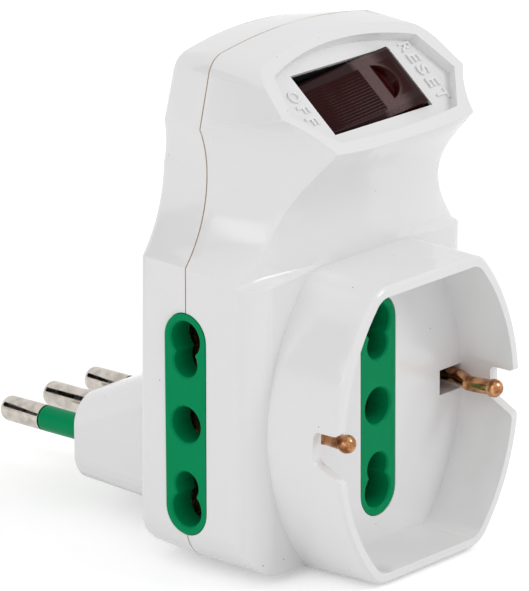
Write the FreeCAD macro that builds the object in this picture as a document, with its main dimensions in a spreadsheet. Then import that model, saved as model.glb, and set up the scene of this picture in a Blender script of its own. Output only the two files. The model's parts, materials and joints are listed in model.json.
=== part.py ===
import FreeCAD, Part
import math
import os

import Sketcher
from FreeCAD import Placement, Rotation, Vector

# Switched plug adapter with an overload rocker switch.
# Frame: the origin is on the earth pin's axis in the plug's end face. +Y points
# to the wall along the pins, +X to the right seen from the front, +Z up.
# All lengths are in millimetres.

document = FreeCAD.newDocument("switched_plug_adapter")
sheet = document.addObject("Spreadsheet::Sheet", "Sizes")


# Driving dimensions: alias, value and what it is

SIZES = [
    # Plug
    ("pin_pitch", 9.5, "earth pin to line or neutral pin"),
    ("pin_radius", 2.0, "plug pin"),
    ("pin_length", 19.0, "plug face to pin tip"),
    ("pin_tip_round", 1.3, "rounding of the pin tip"),
    ("sleeve_length", 10.6, "plug face to the end of the green sleeve"),
    ("sleeve_root", 6.0, "length of the sleeve inside the boss"),
    ("sleeve_bevel", 0.5, "bevel at the sleeve's end"),
    ("sleeve_wall", 0.55, "thickness of the sleeve"),
    ("pin_root_radius", 2.2, "pins and sleeves inside the boss"),
    ("pin_root_end", 0.2, "plug face to the end of the thicker root"),
    ("pin_seat_radius", 3.0, "shallow seat round each pin in the plug's face"),
    ("pin_seat", 0.6, "depth of that seat"),
    ("pin_flange_radius", 3.0, "flange that stops the pin behind the wall"),
    ("pin_flange", 1.2, "thickness of that flange"),
    ("pin_tail_radius", 1.5, "tail of the pin inside the casing"),
    ("fit_gap", 0.05, "clearance of a snug fit"),
    ("seat_gap", 0.1, "clearance where two pieces only lie together"),
    ("boss_half_width", 14.5, "plug boss at its end face"),
    ("boss_under", 7.1, "pin axis to the underside of the boss"),
    ("boss_over", 6.9, "pin axis to the top of the boss at its end face"),
    ("boss_round", 4.8, "corner radius of the boss"),
    ("boss_base_half_width", 15.3, "plug boss where it meets the back"),
    ("boss_base_under", 7.7, "underside of the boss at the back"),
    ("boss_base_over", 16.8, "top of the sloped boss at the back"),
    # Casing
    ("wall", 2.0, "casing wall"),
    ("half_width", 24.8, "casing centre to side face"),
    ("floor_drop", 9.8, "pin axis down to the underside of the casing"),
    ("floor_round", 6.0, "lower corners of the casing"),
    ("back_depth", 22.0, "plug face to the back of the casing"),
    ("parting_depth", 31.9, "plug face to the parting plane"),
    ("front_depth", 45.0, "plug face to the flat front"),
    ("seam", 0.2, "open line between the two shells"),
    ("seam_lip", 1.2, "height of the lip that locates the shells"),
    ("back_edge", 1.4, "rounding of the rear edge"),
    # Parting outline, right side, from the shoulder to the crown
    ("shoulder_in", 0.25, "kink above the side face, inside that face"),
    ("shoulder_z", 35.7, "kink above the side face"),
    ("flank_x", 21.15, "hollow between shoulder and waist"),
    ("flank_z", 41.3, "hollow between shoulder and waist"),
    ("waist_x", 19.7, "narrowest place of the neck"),
    ("waist_z", 48.5, "narrowest place of the neck"),
    ("jaw_x", 20.0, "between waist and brow"),
    ("jaw_z", 52.2, "between waist and brow"),
    ("brow_x", 21.15, "widest place of the head"),
    ("brow_z", 55.7, "widest place of the head"),
    ("temple_x", 19.2, "start of the crown's corner"),
    ("temple_z", 63.2, "start of the crown's corner"),
    ("corner_x", 18.3, "middle of the crown's corner"),
    ("corner_z", 65.1, "middle of the crown's corner"),
    ("hat_x", 16.0, "end of the crown's corner"),
    ("hat_z", 66.25, "end of the crown's corner"),
    ("crown_z", 67.7, "top of the head"),
    # How the outline draws in from the parting plane to the back
    ("side_draft", 0.4, "side face"),
    ("neck_draft", 0.95, "shoulder, flank and waist"),
    ("head_draft", 2.75, "brow, temple and crown's corner"),
    ("crown_draft", 1.6, "top of the head"),
    # How the outline changes for each millimetre forward
    ("shoulder_fall", 0.115, "the shoulder sinks"),
    ("neck_taper", 0.105, "flank and waist draw in"),
    ("neck_bow", 0.0048, "waist draws in faster towards the front"),
    ("head_rise", 0.261, "waist and brow rise"),
    ("brow_taper", 0.049, "brow draws in"),
    ("crown_fall", 0.07, "the crown sinks"),
    # Front surface: flat beside the collar, hollow in the neck, leaning above
    ("front_edge", 4.5, "side face to the edge of the flat front"),
    ("front_corner", 4.59, "corner between front and side face"),
    ("neck_flat", 5.0, "half of the flat strip down the neck"),
    ("neck_crown", 57.0, "radius across the neck's front"),
    # Switch bezel
    ("bezel_angle", 40.32, "slope of the bezel"),
    ("bezel_y", 44.65, "window centre, in front of the plug face"),
    ("bezel_z", 59.4, "window centre above the pin axis"),
    ("rim_height", 1.75, "bezel ridge above the plate"),
    ("plate", 1.9, "thickness of the bezel plate"),
    ("plate_top_half", 15.9, "plate, upper corners"),
    ("plate_top_s", 5.4, "plate, upper corners above the window's centre"),
    ("plate_wide_half", 18.4, "plate, widest place"),
    ("plate_wide_s", 1.6, "plate, widest place below the window's centre"),
    ("plate_low_half", 13.2, "plate, lower corners"),
    ("plate_low_s", 7.9, "plate, lower corners below the window's centre"),
    ("plate_bow", 2.9, "rise of the plate's upper edge"),
    ("plate_sag", 0.6, "drop of the plate's lower edge"),
    ("window_half_length", 10.95, "switch window"),
    ("window_half_width", 5.6, "switch window"),
    # Round-sided collar of the front outlet
    ("outlet_z", 11.9, "centre of all three outlets"),
    ("collar_depth", 57.8, "plug face to the collar's rim"),
    ("recess", 10.0, "depth of the recess"),
    ("recess_half_width", 19.45, "recess, across the clips"),
    ("recess_side_radius", 30.6, "round sides of the recess"),
    ("recess_half_height", 21.05, "recess, flat top and bottom"),
    ("recess_corner", 3.2, "corners of the recess"),
    ("collar_wall", 1.6, "collar wall at the rim"),
    ("collar_draft", 0.5, "thicker collar wall at its root"),
    ("rim_bevel", 0.45, "bevel of the rim's outer edge"),
    ("notch_half", 2.6, "half of the notch in the rim"),
    ("notch_depth", 4.5, "depth of the notch"),
    ("notch_flare", 1.7, "fall of the notch's lower edge towards the rim"),
    ("notch_mouth", 0.8, "rounding of the notch's corners at the rim"),
    ("clip_slot", 5.05, "length of the floor slot"),
    ("clip_slot_half", 1.95, "half height of the floor slot"),
    # Three-hole socket inserts
    ("insert_length", 33.8, "insert face"),
    ("insert_width", 7.8, "insert face"),
    ("insert_depth", 4.2, "length of the holes"),
    ("insert_flange", 1.4, "overhang of the flange beside the window"),
    ("insert_end_flange", 0.5, "overhang of the flange at the window's ends"),
    ("flange_thick", 1.2, "flange of the insert"),
    ("insert_gap", 0.12, "clearance round the insert"),
    ("hole_radius", 2.75, "middle hole and 16 A holes"),
    ("small_hole_radius", 2.22, "10 A holes"),
    ("wide_pitch", 13.0, "16 A holes from the middle"),
    ("narrow_pitch", 9.5, "10 A holes from the middle"),
    ("hole_bevel", 0.3, "bevel at the mouth of the holes"),
    # Contact strips
    ("strip", 0.6, "sheet thickness of the contacts"),
    ("jaw_gap", 2.35, "pin axis to a contact leaf"),
    ("leaf_side", 5.0, "side face to the end of the side leaves"),
    ("leaf_root", 4.6, "inner end of the side leaves"),
    ("front_leaf", 12.2, "length of the front leaves"),
    ("live_half_height", 4.2, "half height of line and neutral strips"),
    ("live_offset", 11.6, "their middle from the outlet's centre"),
    ("earth_half_height", 3.0, "half height of the earth strip"),
    ("rail", 0.5, "sheet left beside the window for a pin's tip"),
    ("feed_depth", 26.3, "plug face to the line feed strip"),
    ("feed_inner", 5.0, "inner edge of the feed strip from the middle"),
    ("feed_outer", 11.0, "outer edge of the feed strip from the middle"),
    ("feed_top", 43.0, "upper end of the feed strip"),
    ("tab_half", 2.5, "half width of the earth tab"),
    ("tab_depth", 27.2, "plug face to the earth tab"),
    ("tab_drop", 2.5, "pin axis to the lower end of the tabs"),
    ("load_inner", 4.0, "inner edge of the load strip"),
    ("load_outer", 8.0, "outer edge of the load strip"),
    ("load_arm_z", 39.0, "underside of the load strip's arm"),
    ("load_top", 42.0, "upper edge of the load strip"),
    # Earth clips in the collar
    ("clip_radius", 1.15, "round stock of a clip"),
    ("clip_root", 1.45, "recess side to the clip's middle behind and in the slot"),
    ("clip_bulge", 3.1, "recess side to the clip's middle where it grips"),
    ("clip_tip", 2.5, "recess side to the middle of its free end"),
    ("clip_bulge_in", 6.0, "rim to the place where it grips"),
    ("clip_tip_in", 1.75, "rim to the middle of its free end"),
    ("clip_knob", 1.4, "radius of the knob at its free end"),
    ("clip_rise", 0.3, "middle of the clips above the outlet's centre"),
    ("clip_foot", 5.3, "length of the foot behind the floor"),
    ("clip_foot_thick", 1.2, "thickness of the flattened foot"),
    # Screws and their columns
    ("screw_side", 6.45, "side face to the lower screws"),
    ("screw_z", 6.85, "lower screws above the pin axis"),
    ("top_screw_z", 34.4, "upper screw above the pin axis"),
    ("screw_radius", 1.25, "shank"),
    ("screw_head_radius", 2.3, "head"),
    ("screw_head", 1.8, "height of the head"),
    ("screw_length", 14.0, "under the head"),
    ("screw_recess", 1.1, "depth of the cross recess"),
    ("screw_slot", 0.8, "width of the cross recess"),
    ("screw_sink", 1.5, "back face to the top of the head"),
    ("column_radius", 1.95, "lower screw columns"),
    ("cup_radius", 2.6, "counterbore for the head"),
    ("cup_floor", 1.2, "material under the head"),
    ("rib", 1.0, "thickness of the inner ribs"),
    ("rear_rib_x", 14.0, "ribs behind the contact strips"),
    ("front_rib_x", 8.0, "ribs in front of the contact strips"),
    # Overload switch, in the slanted frame of the bezel
    ("housing_half_length", 12.2, "switch housing"),
    ("housing_half_width", 6.7, "switch housing"),
    ("housing_depth", 17.0, "switch housing"),
    ("housing_wall", 0.95, "switch housing"),
    ("axle_depth", 4.0, "rocker axle under the plate's face"),
    ("axle_radius", 0.9, "rocker axle"),
    ("rocker_tilt", 11.0, "rocker each way from the middle"),
    ("rocker_top", 3.75, "axle to the middle of the rocker's top"),
    ("rocker_end_top", 4.1, "axle to the ends of the rocker's top"),
    ("rocker_top_half", 9.3, "half length of the rocker's top"),
    ("rocker_half_width", 5.25, "half width of the rocker"),
    ("rocker_bevel", 0.95, "bevel round the rocker's top"),
    ("scoop_start", 4.75, "rocker's middle to the start of the finger scoop"),
    ("scoop_end", 7.45, "rocker's middle to the far end of the scoop"),
    ("scoop_half", 3.2, "half width of the scoop"),
    ("scoop_depth", 0.7, "depth of the scoop"),
    ("rocker_end_radius", 10.7, "axle to the rocker's ends"),
    ("rocker_skirt", 1.4, "axle to the lower edge of the rocker"),
    ("rocker_wall", 1.2, "wall of the rocker"),
    ("hub_half", 2.5, "half length of the rocker's hub"),
    ("hub_drop", 6.3, "axle to the lower end of the hub"),
    ("plunger_radius", 1.3, "plunger"),
    ("plunger_reach", 8.0, "axle to the plunger's tip"),
    ("plunger_length", 4.4, "length of the plunger"),
    ("plunger_bore_top", 1.7, "axle to the end of the plunger's bore"),
    ("spring_wire", 0.22, "wire of the spring, radius"),
    ("blade_gap", 0.3, "plunger tip to the blade at mid travel"),
    ("blade_half_length", 7.0, "contact blade"),
    ("blade_half_width", 1.6, "contact blade"),
    ("blade_thick", 0.5, "contact blade"),
    ("blade_tilt", 6.0, "blade each way from the middle"),
    ("bead_radius", 0.4, "rolled bead that the blade rocks on"),
    ("contact_x", 5.8, "contact from the switch's middle"),
    ("rivet_radius", 1.1, "contact rivet"),
    ("rivet", 0.35, "height of a contact rivet"),
    ("terminal_half", 2.4, "half width of the terminals"),
    ("terminal_thick", 0.8, "thickness of the terminals"),
    ("terminal_reach", 5.5, "terminals below the housing"),
    ("lamp_x", 8.9, "lamp from the switch's middle"),
    ("lamp_depth", 9.7, "lamp under the plate's face"),
    ("lamp_radius", 1.3, "lamp"),
    ("lamp_half", 4.0, "half length of the lamp"),
    ("bimetal_x", 9.6, "bimetal strip from the middle"),
    ("bimetal_thick", 0.4, "thickness of the bimetal strip"),
]

for row, (alias, size, note) in enumerate(SIZES, start=1):
    sheet.set(f"A{row}", alias)
    sheet.set(f"B{row}", str(size))
    sheet.setAlias(f"B{row}", alias)
    sheet.set(f"C{row}", note)
document.recompute()


# Dimensions that carry both their value and their expression


class Dim:
    """A length with the spreadsheet expression that it comes from."""

    def __init__(self, value, text):
        self.value = value
        self.text = text

    @staticmethod
    def of(thing):
        """Return a Dim for a Dim or a plain number."""
        return thing if isinstance(thing, Dim) else Dim(float(thing), repr(float(thing)))

    def __add__(self, other):
        other = Dim.of(other)
        return Dim(self.value + other.value, f"({self.text} + {other.text})")

    def __sub__(self, other):
        other = Dim.of(other)
        return Dim(self.value - other.value, f"({self.text} - {other.text})")

    def __mul__(self, other):
        other = Dim.of(other)
        return Dim(self.value * other.value, f"({self.text} * {other.text})")

    def __truediv__(self, other):
        other = Dim.of(other)
        return Dim(self.value / other.value, f"({self.text} / {other.text})")

    def __neg__(self):
        return Dim(-self.value, f"(-1 * {self.text})")

    def __radd__(self, other):
        return Dim.of(other) + self

    def __rsub__(self, other):
        return Dim.of(other) - self

    def __rmul__(self, other):
        return Dim.of(other) * self


def size(alias):
    """Return the driving dimension of that name."""
    return Dim(float(sheet.get(alias)), f"Sizes.{alias}")


def root_of(thing):
    """Return the square root of a Dim."""
    return Dim(math.sqrt(thing.value), f"sqrt({thing.text})")


def bind(thing, prop, length):
    """Tie one property of an object to a dimension."""
    if isinstance(length, Dim):
        thing.setExpression(prop, length.text)
    elif "." in prop:
        thing.setExpression(prop, repr(float(length)))
    else:
        setattr(thing, prop, length)


def place(thing, corner):
    """Tie an object's base point to three dimensions."""
    for axis, length in zip("xyz", corner):
        bind(thing, f"Placement.Base.{axis}", length)


# Solids and booleans

TURN = {
    "x": Rotation(Vector(0, 1, 0), 90),
    "y": Rotation(Vector(1, 0, 0), -90),
    "z": Rotation(),
}
PLANE = {
    "XY": Rotation(),
    "XZ": Rotation(Vector(1, 0, 0), 90),
    "YZ": Rotation(Vector(1, 1, 1), 120),
}


def box(name, low, high):
    """A block between two corners."""
    thing = document.addObject("Part::Box", name)
    for prop, first, last in zip(("Length", "Width", "Height"), low, high):
        bind(thing, prop, Dim.of(last) - first)
    place(thing, low)
    return thing


def rod(name, radius, start, length, axis):
    """A cylinder from a point along a positive axis."""
    thing = document.addObject("Part::Cylinder", name)
    bind(thing, "Radius", Dim.of(radius))
    bind(thing, "Height", Dim.of(length))
    thing.Placement = Placement(Vector(), TURN[axis])
    place(thing, start)
    return thing


def fuse(name, *shapes):
    """One solid from several."""
    thing = document.addObject("Part::MultiFuse", name)
    thing.Shapes = list(shapes)
    thing.Refine = True
    return thing


def meet(name, *shapes):
    """What several solids share."""
    thing = document.addObject("Part::MultiCommon", name)
    thing.Shapes = list(shapes)
    return thing


def cut(name, base, *tools):
    """A solid with others taken out."""
    for number, tool in enumerate(tools):
        thing = document.addObject("Part::Cut", f"{name}_{number}" if number + 1 < len(tools) else name)
        thing.Base = base
        thing.Tool = tool
        base = thing
    return base


def pin_point(sketch, geometry, position, point):
    """Tie a point of a sketch to its two dimensions."""
    for kind, axis, length in (("DistanceX", -2, point[0]), ("DistanceY", -1, point[1])):
        length = Dim.of(length)
        if abs(length.value) < 1e-9:
            sketch.addConstraint(Sketcher.Constraint("PointOnObject", geometry, position, axis))
            continue
        index = sketch.addConstraint(Sketcher.Constraint(kind, geometry, position, length.value))
        sketch.setExpression(f"Constraints[{index}]", length.text)


def flat(point):
    """The plain vector of a point given by two dimensions."""
    return Vector(Dim.of(point[0]).value, Dim.of(point[1]).value, 0)


def outline(name, steps, plane="XY", offset=0, closed=True):
    """A sketch from points, with an arc where a step names its middle.

    Each step is (point,) for a straight edge to the next point, or
    (point, middle) for an arc to it. An open sketch ends at its last point.
    """
    sketch = document.addObject("Sketcher::SketchObject", name)
    sketch.Placement = Placement(Vector(), PLANE[plane])
    across = {"XY": "z", "XZ": "y", "YZ": "x"}[plane]
    bind(sketch, f"Placement.Base.{across}", Dim.of(offset))
    starts = []
    ends = []
    edges = steps if closed else steps[:-1]
    for number, step in enumerate(edges):
        first = step[0]
        last = steps[(number + 1) % len(steps)][0]
        if len(step) == 1:
            edge = sketch.addGeometry(Part.LineSegment(flat(first), flat(last)), False)
            order = (1, 2)
        else:
            middle = flat(step[1])
            turn = (middle - flat(first)).cross(flat(last) - flat(first)).z
            order = (1, 2) if turn > 0 else (2, 1)
            arc = Part.Arc(flat(first), middle, flat(last))
            if turn < 0:
                arc = Part.Arc(flat(last), middle, flat(first))
            edge = sketch.addGeometry(arc, False)
        starts.append((edge, order[0]))
        ends.append((edge, order[1]))
    for number, step in enumerate(edges):
        pin_point(sketch, *starts[number], step[0])
        if closed or number + 1 < len(edges):
            following = starts[(number + 1) % len(edges)]
            sketch.addConstraint(Sketcher.Constraint("Coincident", *ends[number], *following))
        else:
            pin_point(sketch, *ends[number], steps[-1][0])
        if len(step) == 2:
            mark = sketch.addGeometry(Part.Point(flat(step[1])), True)
            pin_point(sketch, mark, 1, step[1])
            edge = starts[number][0]
            sketch.addConstraint(Sketcher.Constraint("PointOnObject", mark, 1, edge))
    return sketch


def extrude(name, sketch, length):
    """A prism on a sketch, along the sketch's own normal."""
    thing = document.addObject("Part::Extrusion", name)
    thing.Base = sketch
    thing.DirMode = "Normal"
    thing.Solid = True
    bind(thing, "LengthFwd", Dim.of(length))
    return thing


def loft(name, sketches, ruled):
    """A solid through several sketches."""
    thing = document.addObject("Part::Loft", name)
    thing.Sections = sketches
    thing.Solid = True
    thing.Ruled = ruled
    return thing


def sweep(name, section, path):
    """A solid that a section leaves along a path, round at the path's corners."""
    thing = document.addObject("Part::Sweep", name)
    thing.Sections = [section]
    thing.Spine = (path, [f"Edge{number + 1}" for number in range(path.GeometryCount)])
    thing.Solid = True
    thing.Transition = "Round corner"
    return thing


def revolve(name, sketch, axis):
    """A solid of revolution of a half profile."""
    thing = document.addObject("Part::Revolution", name)
    thing.Source = sketch
    thing.Axis = axis
    thing.Base = Vector()
    thing.Angle = 360
    thing.Solid = True
    return thing


wall = size("wall")
parting_y = -size("parting_depth")
back_y = -size("back_depth")
front_y = -size("front_depth")
outlet_z = size("outlet_z")
fit_gap = size("fit_gap")
seat_gap = size("seat_gap")
HALF_ROOT = math.sqrt(0.5)


# Casing: its outline in a plane across the pins


def casing_outline(name, depth, inset, draft=0.0, forward=0.0):
    """The casing's outline at a depth.

    draft is the share of the rearward draft, and forward is the distance in
    front of the parting plane. inset draws the outline in by a wall.
    """
    forward = Dim.of(forward)
    draft = Dim.of(draft)
    side = size("half_width") - inset - size("side_draft") * draft
    low = inset - size("floor_drop") + size("side_draft") * draft
    corner = size("floor_round") - inset
    neck = Dim.of(inset) + size("neck_draft") * draft
    head = Dim.of(inset) + size("head_draft") * draft
    top = Dim.of(inset) + size("crown_draft") * draft
    waist_in = size("neck_taper") * forward + size("neck_bow") * forward * forward
    rise = size("head_rise") * forward
    fall = size("crown_fall") * forward
    shoulder = (size("half_width") - size("shoulder_in") - neck, size("shoulder_z") - size("shoulder_fall") * forward - inset * 0.5)
    flank = (size("flank_x") - neck - waist_in * 0.8, size("flank_z") - size("shoulder_fall") * forward)
    waist = (size("waist_x") - neck - waist_in, size("waist_z") + rise)
    jaw = (size("jaw_x") - (neck + head) / 2 - waist_in * 0.85, size("jaw_z") + rise)
    brow = (size("brow_x") - head - size("brow_taper") * forward, size("brow_z") + rise - top * 0.4)
    temple = (size("temple_x") - head, size("temple_z") - top)
    turn = (size("corner_x") - head, size("corner_z") - fall - top)
    hat = (size("hat_x") - head, size("hat_z") - fall - top)
    crown = (0.0, size("crown_z") - fall - top)
    half = [
        ((side - corner, low), (side - corner * (1 - HALF_ROOT), low + corner * (1 - HALF_ROOT))),
        ((side, low + corner),),
        (shoulder, flank),
        (waist, jaw),
        (brow,),
        (temple, turn),
        (hat, crown),
    ]
    steps = half + [((-hat[0], hat[1]), (-turn[0], turn[1]))]
    steps += [((-temple[0], temple[1]),)]
    steps += [((-brow[0], brow[1]), (-jaw[0], jaw[1]))]
    steps += [((-waist[0], waist[1]), (-flank[0], flank[1]))]
    steps += [((-shoulder[0], shoulder[1]),)]
    low_mark = (-(side - corner * (1 - HALF_ROOT)), low + corner * (1 - HALF_ROOT))
    steps += [((-side, low + corner), low_mark)]
    steps += [((-(side - corner), low),)]
    return outline(name, steps, "XZ", depth)


# Casing: its plan section at a height, which shapes the front

FOOT_HEIGHT = -14.0
FLAT_HEIGHT = 34.2
TOP_HEIGHT = 72.0
NECK_HEIGHTS = ((35.6, 45.1), (42.0, 45.5), (46.0, 46.95), (50.0, 49.85), (54.5, 54.1), (60.5, 60.7))
OUTSIDE = size("half_width") + 1.2


def plan_section(name, height, inset, nose, flat_half, radius, reach):
    """A plan section with a flat nose and arcs back to the sides.

    reach is how far across the arc runs.
    """
    nose = inset - Dim.of(nose)
    radius = Dim.of(radius)
    flat_half = Dim.of(flat_half)
    middle_x = reach * 0.6
    middle_y = nose + radius - root_of(radius * radius - middle_x * middle_x)
    end_y = nose + radius - root_of(radius * radius - reach * reach)
    behind = parting_y + 6.0
    steps = [
        ((-flat_half - reach, behind),),
        ((-flat_half - reach, end_y), (-flat_half - middle_x, middle_y)),
        ((-flat_half, nose),),
        ((flat_half, nose), (flat_half + middle_x, middle_y)),
        ((flat_half + reach, end_y),),
        ((flat_half + reach, behind),),
    ]
    return outline(name, steps, "XY", height)


def front_block(name, inset):
    """The solid whose front is the front surface of the casing."""
    corner = size("front_corner")
    flats = []
    for label, height in (("foot", FOOT_HEIGHT), ("flat", FLAT_HEIGHT)):
        flats.append(
            plan_section(
                f"{name}_{label}", height, inset, size("front_depth"), size("half_width") - size("front_edge"), corner, corner * 0.999
            )
        )
    neck = []
    for number, (height, nose) in enumerate(NECK_HEIGHTS + ((TOP_HEIGHT, NECK_HEIGHTS[-1][1]),)):
        neck.append(
            plan_section(
                f"{name}_neck_{number}",
                height,
                inset,
                nose,
                size("neck_flat"),
                size("neck_crown"),
                OUTSIDE - size("neck_flat"),
            )
        )
    return fuse(
        name,
        loft(f"{name}_low", flats, True),
        loft(f"{name}_change", [flats[1], neck[0]], True),
        loft(f"{name}_lean", neck[:-1], False),
        loft(f"{name}_top", neck[-2:], True),
    )


def front_form(name, inset, start):
    """The closed front half of the casing, drawn in by a wall."""
    stations = (0.0, 12.0, 24.0)
    outlines = []
    for number, forward in enumerate(stations):
        depth = parting_y - forward if number else start
        outlines.append(casing_outline(f"{name}_outline_{number}", depth, inset, 0.0, forward))
    return meet(name, loft(f"{name}_hull", outlines, False), front_block(f"{name}_nose", inset))


def rear_form(name, inset, end_y, edge):
    """The closed rear half of the casing, drawn in by a wall.

    edge is the rounding of its rear edge, in three flats.
    """
    outlines = [casing_outline(f"{name}_parting", parting_y, inset, 0.0)]
    for angle in (0, 30, 60, 90) if edge else (90,):
        in_share = 1.0 - math.cos(math.radians(angle))
        back_share = 1.0 - math.sin(math.radians(angle))
        depth = end_y - edge * back_share
        draft = (depth - parting_y) / (back_y - parting_y)
        outlines.append(casing_outline(f"{name}_back_{angle}", depth, inset + edge * in_share, draft))
    return loft(name, outlines, True)


# Slanted frame of the switch: X across, Y up the slope, Z out of the bezel

bezel_angle = size("bezel_angle")
SLOPE = Rotation(Vector(1, 0, 0), bezel_angle.value)
SLOPE_COS = Dim(math.cos(math.radians(bezel_angle.value)), "cos(Sizes.bezel_angle)")
SLOPE_SIN = Dim(math.sin(math.radians(bezel_angle.value)), "sin(Sizes.bezel_angle)")


def slope_point(point):
    """A point of the slanted frame in the adapter's frame."""
    across, up, out = (Dim.of(length) for length in point)
    return (
        across,
        up * SLOPE_COS - out * SLOPE_SIN - size("bezel_y"),
        up * SLOPE_SIN + out * SLOPE_COS + size("bezel_z"),
    )


def slant(thing, point, tilt=0.0):
    """Turn an object of the slanted frame and put its origin at a point of it.

    tilt turns it first about the frame's own Y axis.
    """
    turned = SLOPE.multiply(Rotation(Vector(0, 1, 0), tilt))
    thing.Placement = Placement(Vector(), turned)
    place(thing, slope_point(point))
    return thing


def slanted_box(name, low, high):
    """A block of the slanted frame between two corners."""
    return slant(box(name, low, high), low)


# Collar outline round the outlet's centre


def collar_outline(name, depth, grow, corner):
    """The round-sided outline of the recess, grown by a wall."""
    side_radius = size("recess_side_radius") + grow
    half_width = size("recess_half_width") + grow
    half_height = size("recess_half_height") + grow
    corner = Dim.of(corner)
    centre_x = half_width - side_radius
    low_y = half_height - corner
    reach = side_radius - corner
    fillet_x = centre_x + root_of(reach * reach - low_y * low_y)
    share = side_radius / reach
    arc_x = centre_x + (fillet_x - centre_x) * share
    arc_z = low_y * share
    mid_x = fillet_x + corner * 0.42
    mid_z = low_y + corner * 0.9075
    up = outlet_z
    steps = [
        ((fillet_x, up - half_height), (mid_x, up - mid_z)),
        ((arc_x, up - arc_z), (half_width, up)),
        ((arc_x, up + arc_z), (mid_x, up + mid_z)),
        ((fillet_x, up + half_height),),
        ((-fillet_x, up + half_height), (-mid_x, up + mid_z)),
        ((-arc_x, up + arc_z), (-half_width, up)),
        ((-arc_x, up - arc_z), (-mid_x, up - mid_z)),
        ((-fillet_x, up - half_height),),
    ]
    return outline(name, steps, "XZ", depth)


def slot_outline(name, length, width, plane, offset, centre):
    """A full-round slot that stands upright."""
    half = Dim.of(width) / 2
    straight = Dim.of(length) / 2 - half
    across, up = centre
    steps = [
        ((half + across, up - straight),),
        ((half + across, up + straight), (Dim.of(across), up + straight + half)),
        ((across - half, up + straight),),
        ((across - half, up - straight), (Dim.of(across), up - straight - half)),
    ]
    return outline(name, steps, plane, offset)


# Socket inserts: green face, flange behind the wall and three holes


def hole_tools(name, plane, face, inward, centre):
    """The holes of one insert with their bevelled mouths."""
    tools = []
    deep = size("insert_depth")
    bevel = size("hole_bevel")
    for label, radius, rise in (
        ("middle", size("hole_radius"), 0.0),
        ("wide_up", size("hole_radius"), size("wide_pitch")),
        ("wide_down", size("hole_radius"), -size("wide_pitch")),
        ("narrow_up", size("small_hole_radius"), size("narrow_pitch")),
        ("narrow_down", size("small_hole_radius"), -size("narrow_pitch")),
    ):
        drill = document.addObject("Part::Cylinder", f"{name}_{label}")
        bind(drill, "Radius", radius)
        bind(drill, "Height", deep + 1.0)
        mouth = document.addObject("Part::Cone", f"{name}_{label}_mouth")
        bind(mouth, "Radius1", radius + bevel)
        bind(mouth, "Radius2", radius)
        bind(mouth, "Height", bevel)
        for tool, start in ((drill, -0.5), (mouth, 0.0)):
            tool.Placement = Placement(Vector(), Rotation(Vector(0, 0, 1), inward))
            out = -Dim.of(0.0 - start)
            if plane == "YZ":
                sign = inward.x
                place(tool, (face + out * sign, centre, outlet_z + rise))
            else:
                place(tool, (centre, face + out, outlet_z + rise))
            tools.append(tool)
    return tools


def socket_insert(name, plane, face, inward, centre):
    """One insert, its face flush with the casing.

    The flange of a side insert lies deeper, clear of the casing's taper.
    """
    normal_is_outward = 1.0 if plane == "XZ" else -inward.x
    middle = (centre, outlet_z)
    face_sketch = slot_outline(
        f"{name}_face", size("insert_length"), size("insert_width"), plane, face, middle
    )
    body = extrude(f"{name}_body", face_sketch, size("insert_depth"))
    flange_length = size("insert_length") + size("insert_end_flange") * 2
    flange_width = size("insert_width") + size("insert_flange") * 2
    step = wall + seat_gap
    if plane == "YZ":
        share = flange_width / 2 / (size("parting_depth") - size("back_depth"))
        step = step + size("shoulder_in") + size("neck_draft") * share
    flange_at = face + step * (inward.x if plane == "YZ" else inward.y)
    flange_sketch = slot_outline(
        f"{name}_flange_face", flange_length, flange_width, plane, flange_at, middle
    )
    flange = extrude(f"{name}_flange", flange_sketch, size("flange_thick"))
    for prism in (body, flange):
        prism.Reversed = normal_is_outward > 0
    whole = fuse(f"{name}_blank", body, flange)
    node = cut(name, whole, *hole_tools(name, plane, face, inward, centre))
    return node


left_face = -size("half_width")
right_face = size("half_width")
floor_y = -(size("collar_depth") - size("recess"))
left_insert = socket_insert("left_socket_insert", "YZ", left_face, Vector(1, 0, 0), parting_y)
right_insert = socket_insert("right_socket_insert", "YZ", right_face, Vector(-1, 0, 0), parting_y)
front_insert = socket_insert("front_socket_insert", "XZ", floor_y, Vector(0, 1, 0), 0.0)


def insert_seat(name, plane, face, inward, centre):
    """The opening that an insert fills in the wall."""
    gap = size("insert_gap") * 2
    start = face - inward * 1.0
    sketch = slot_outline(
        f"{name}_seat", size("insert_length") + gap, size("insert_width") + gap, plane, start, (centre, outlet_z)
    )
    seat = extrude(f"{name}_seat_cut", sketch, wall + 3.0)
    seat.Reversed = plane == "XZ" or inward < 0
    return seat


left_seat = insert_seat("left", "YZ", left_face, 1.0, parting_y)
right_seat = insert_seat("right", "YZ", right_face, -1.0, parting_y)
front_seat = insert_seat("front", "XZ", floor_y, 1.0, 0.0)


# Front shell

outer_front = front_form("front_outer", 0.0, parting_y)
inner_front = front_form("front_inner", wall, parting_y)
far = 80.0

above_rim = slanted_box("above_rim", (-far, -far, size("rim_height")), (far, far, far))
plate_steps = [
    ((size("plate_low_half"), -size("plate_low_s")),),
    ((size("plate_wide_half"), -size("plate_wide_s")),),
    ((size("plate_top_half"), size("plate_top_s")), (0.0, size("plate_top_s") + size("plate_bow"))),
    ((-size("plate_top_half"), size("plate_top_s")),),
    ((-size("plate_wide_half"), -size("plate_wide_s")),),
    ((-size("plate_low_half"), -size("plate_low_s")), (0.0, -size("plate_low_s") - size("plate_sag"))),
]
plate_recess = extrude("plate_recess", slant(outline("plate_outline", plate_steps), (0.0, 0.0, 0.0)), 10.0)
window = slanted_box(
    "window",
    (-size("window_half_length"), -size("window_half_width"), -6.0),
    (size("window_half_length"), size("window_half_width"), 6.0),
)
under_plate = slanted_box("under_plate", (-far, -far, -size("plate")), (far, far, far))

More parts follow.
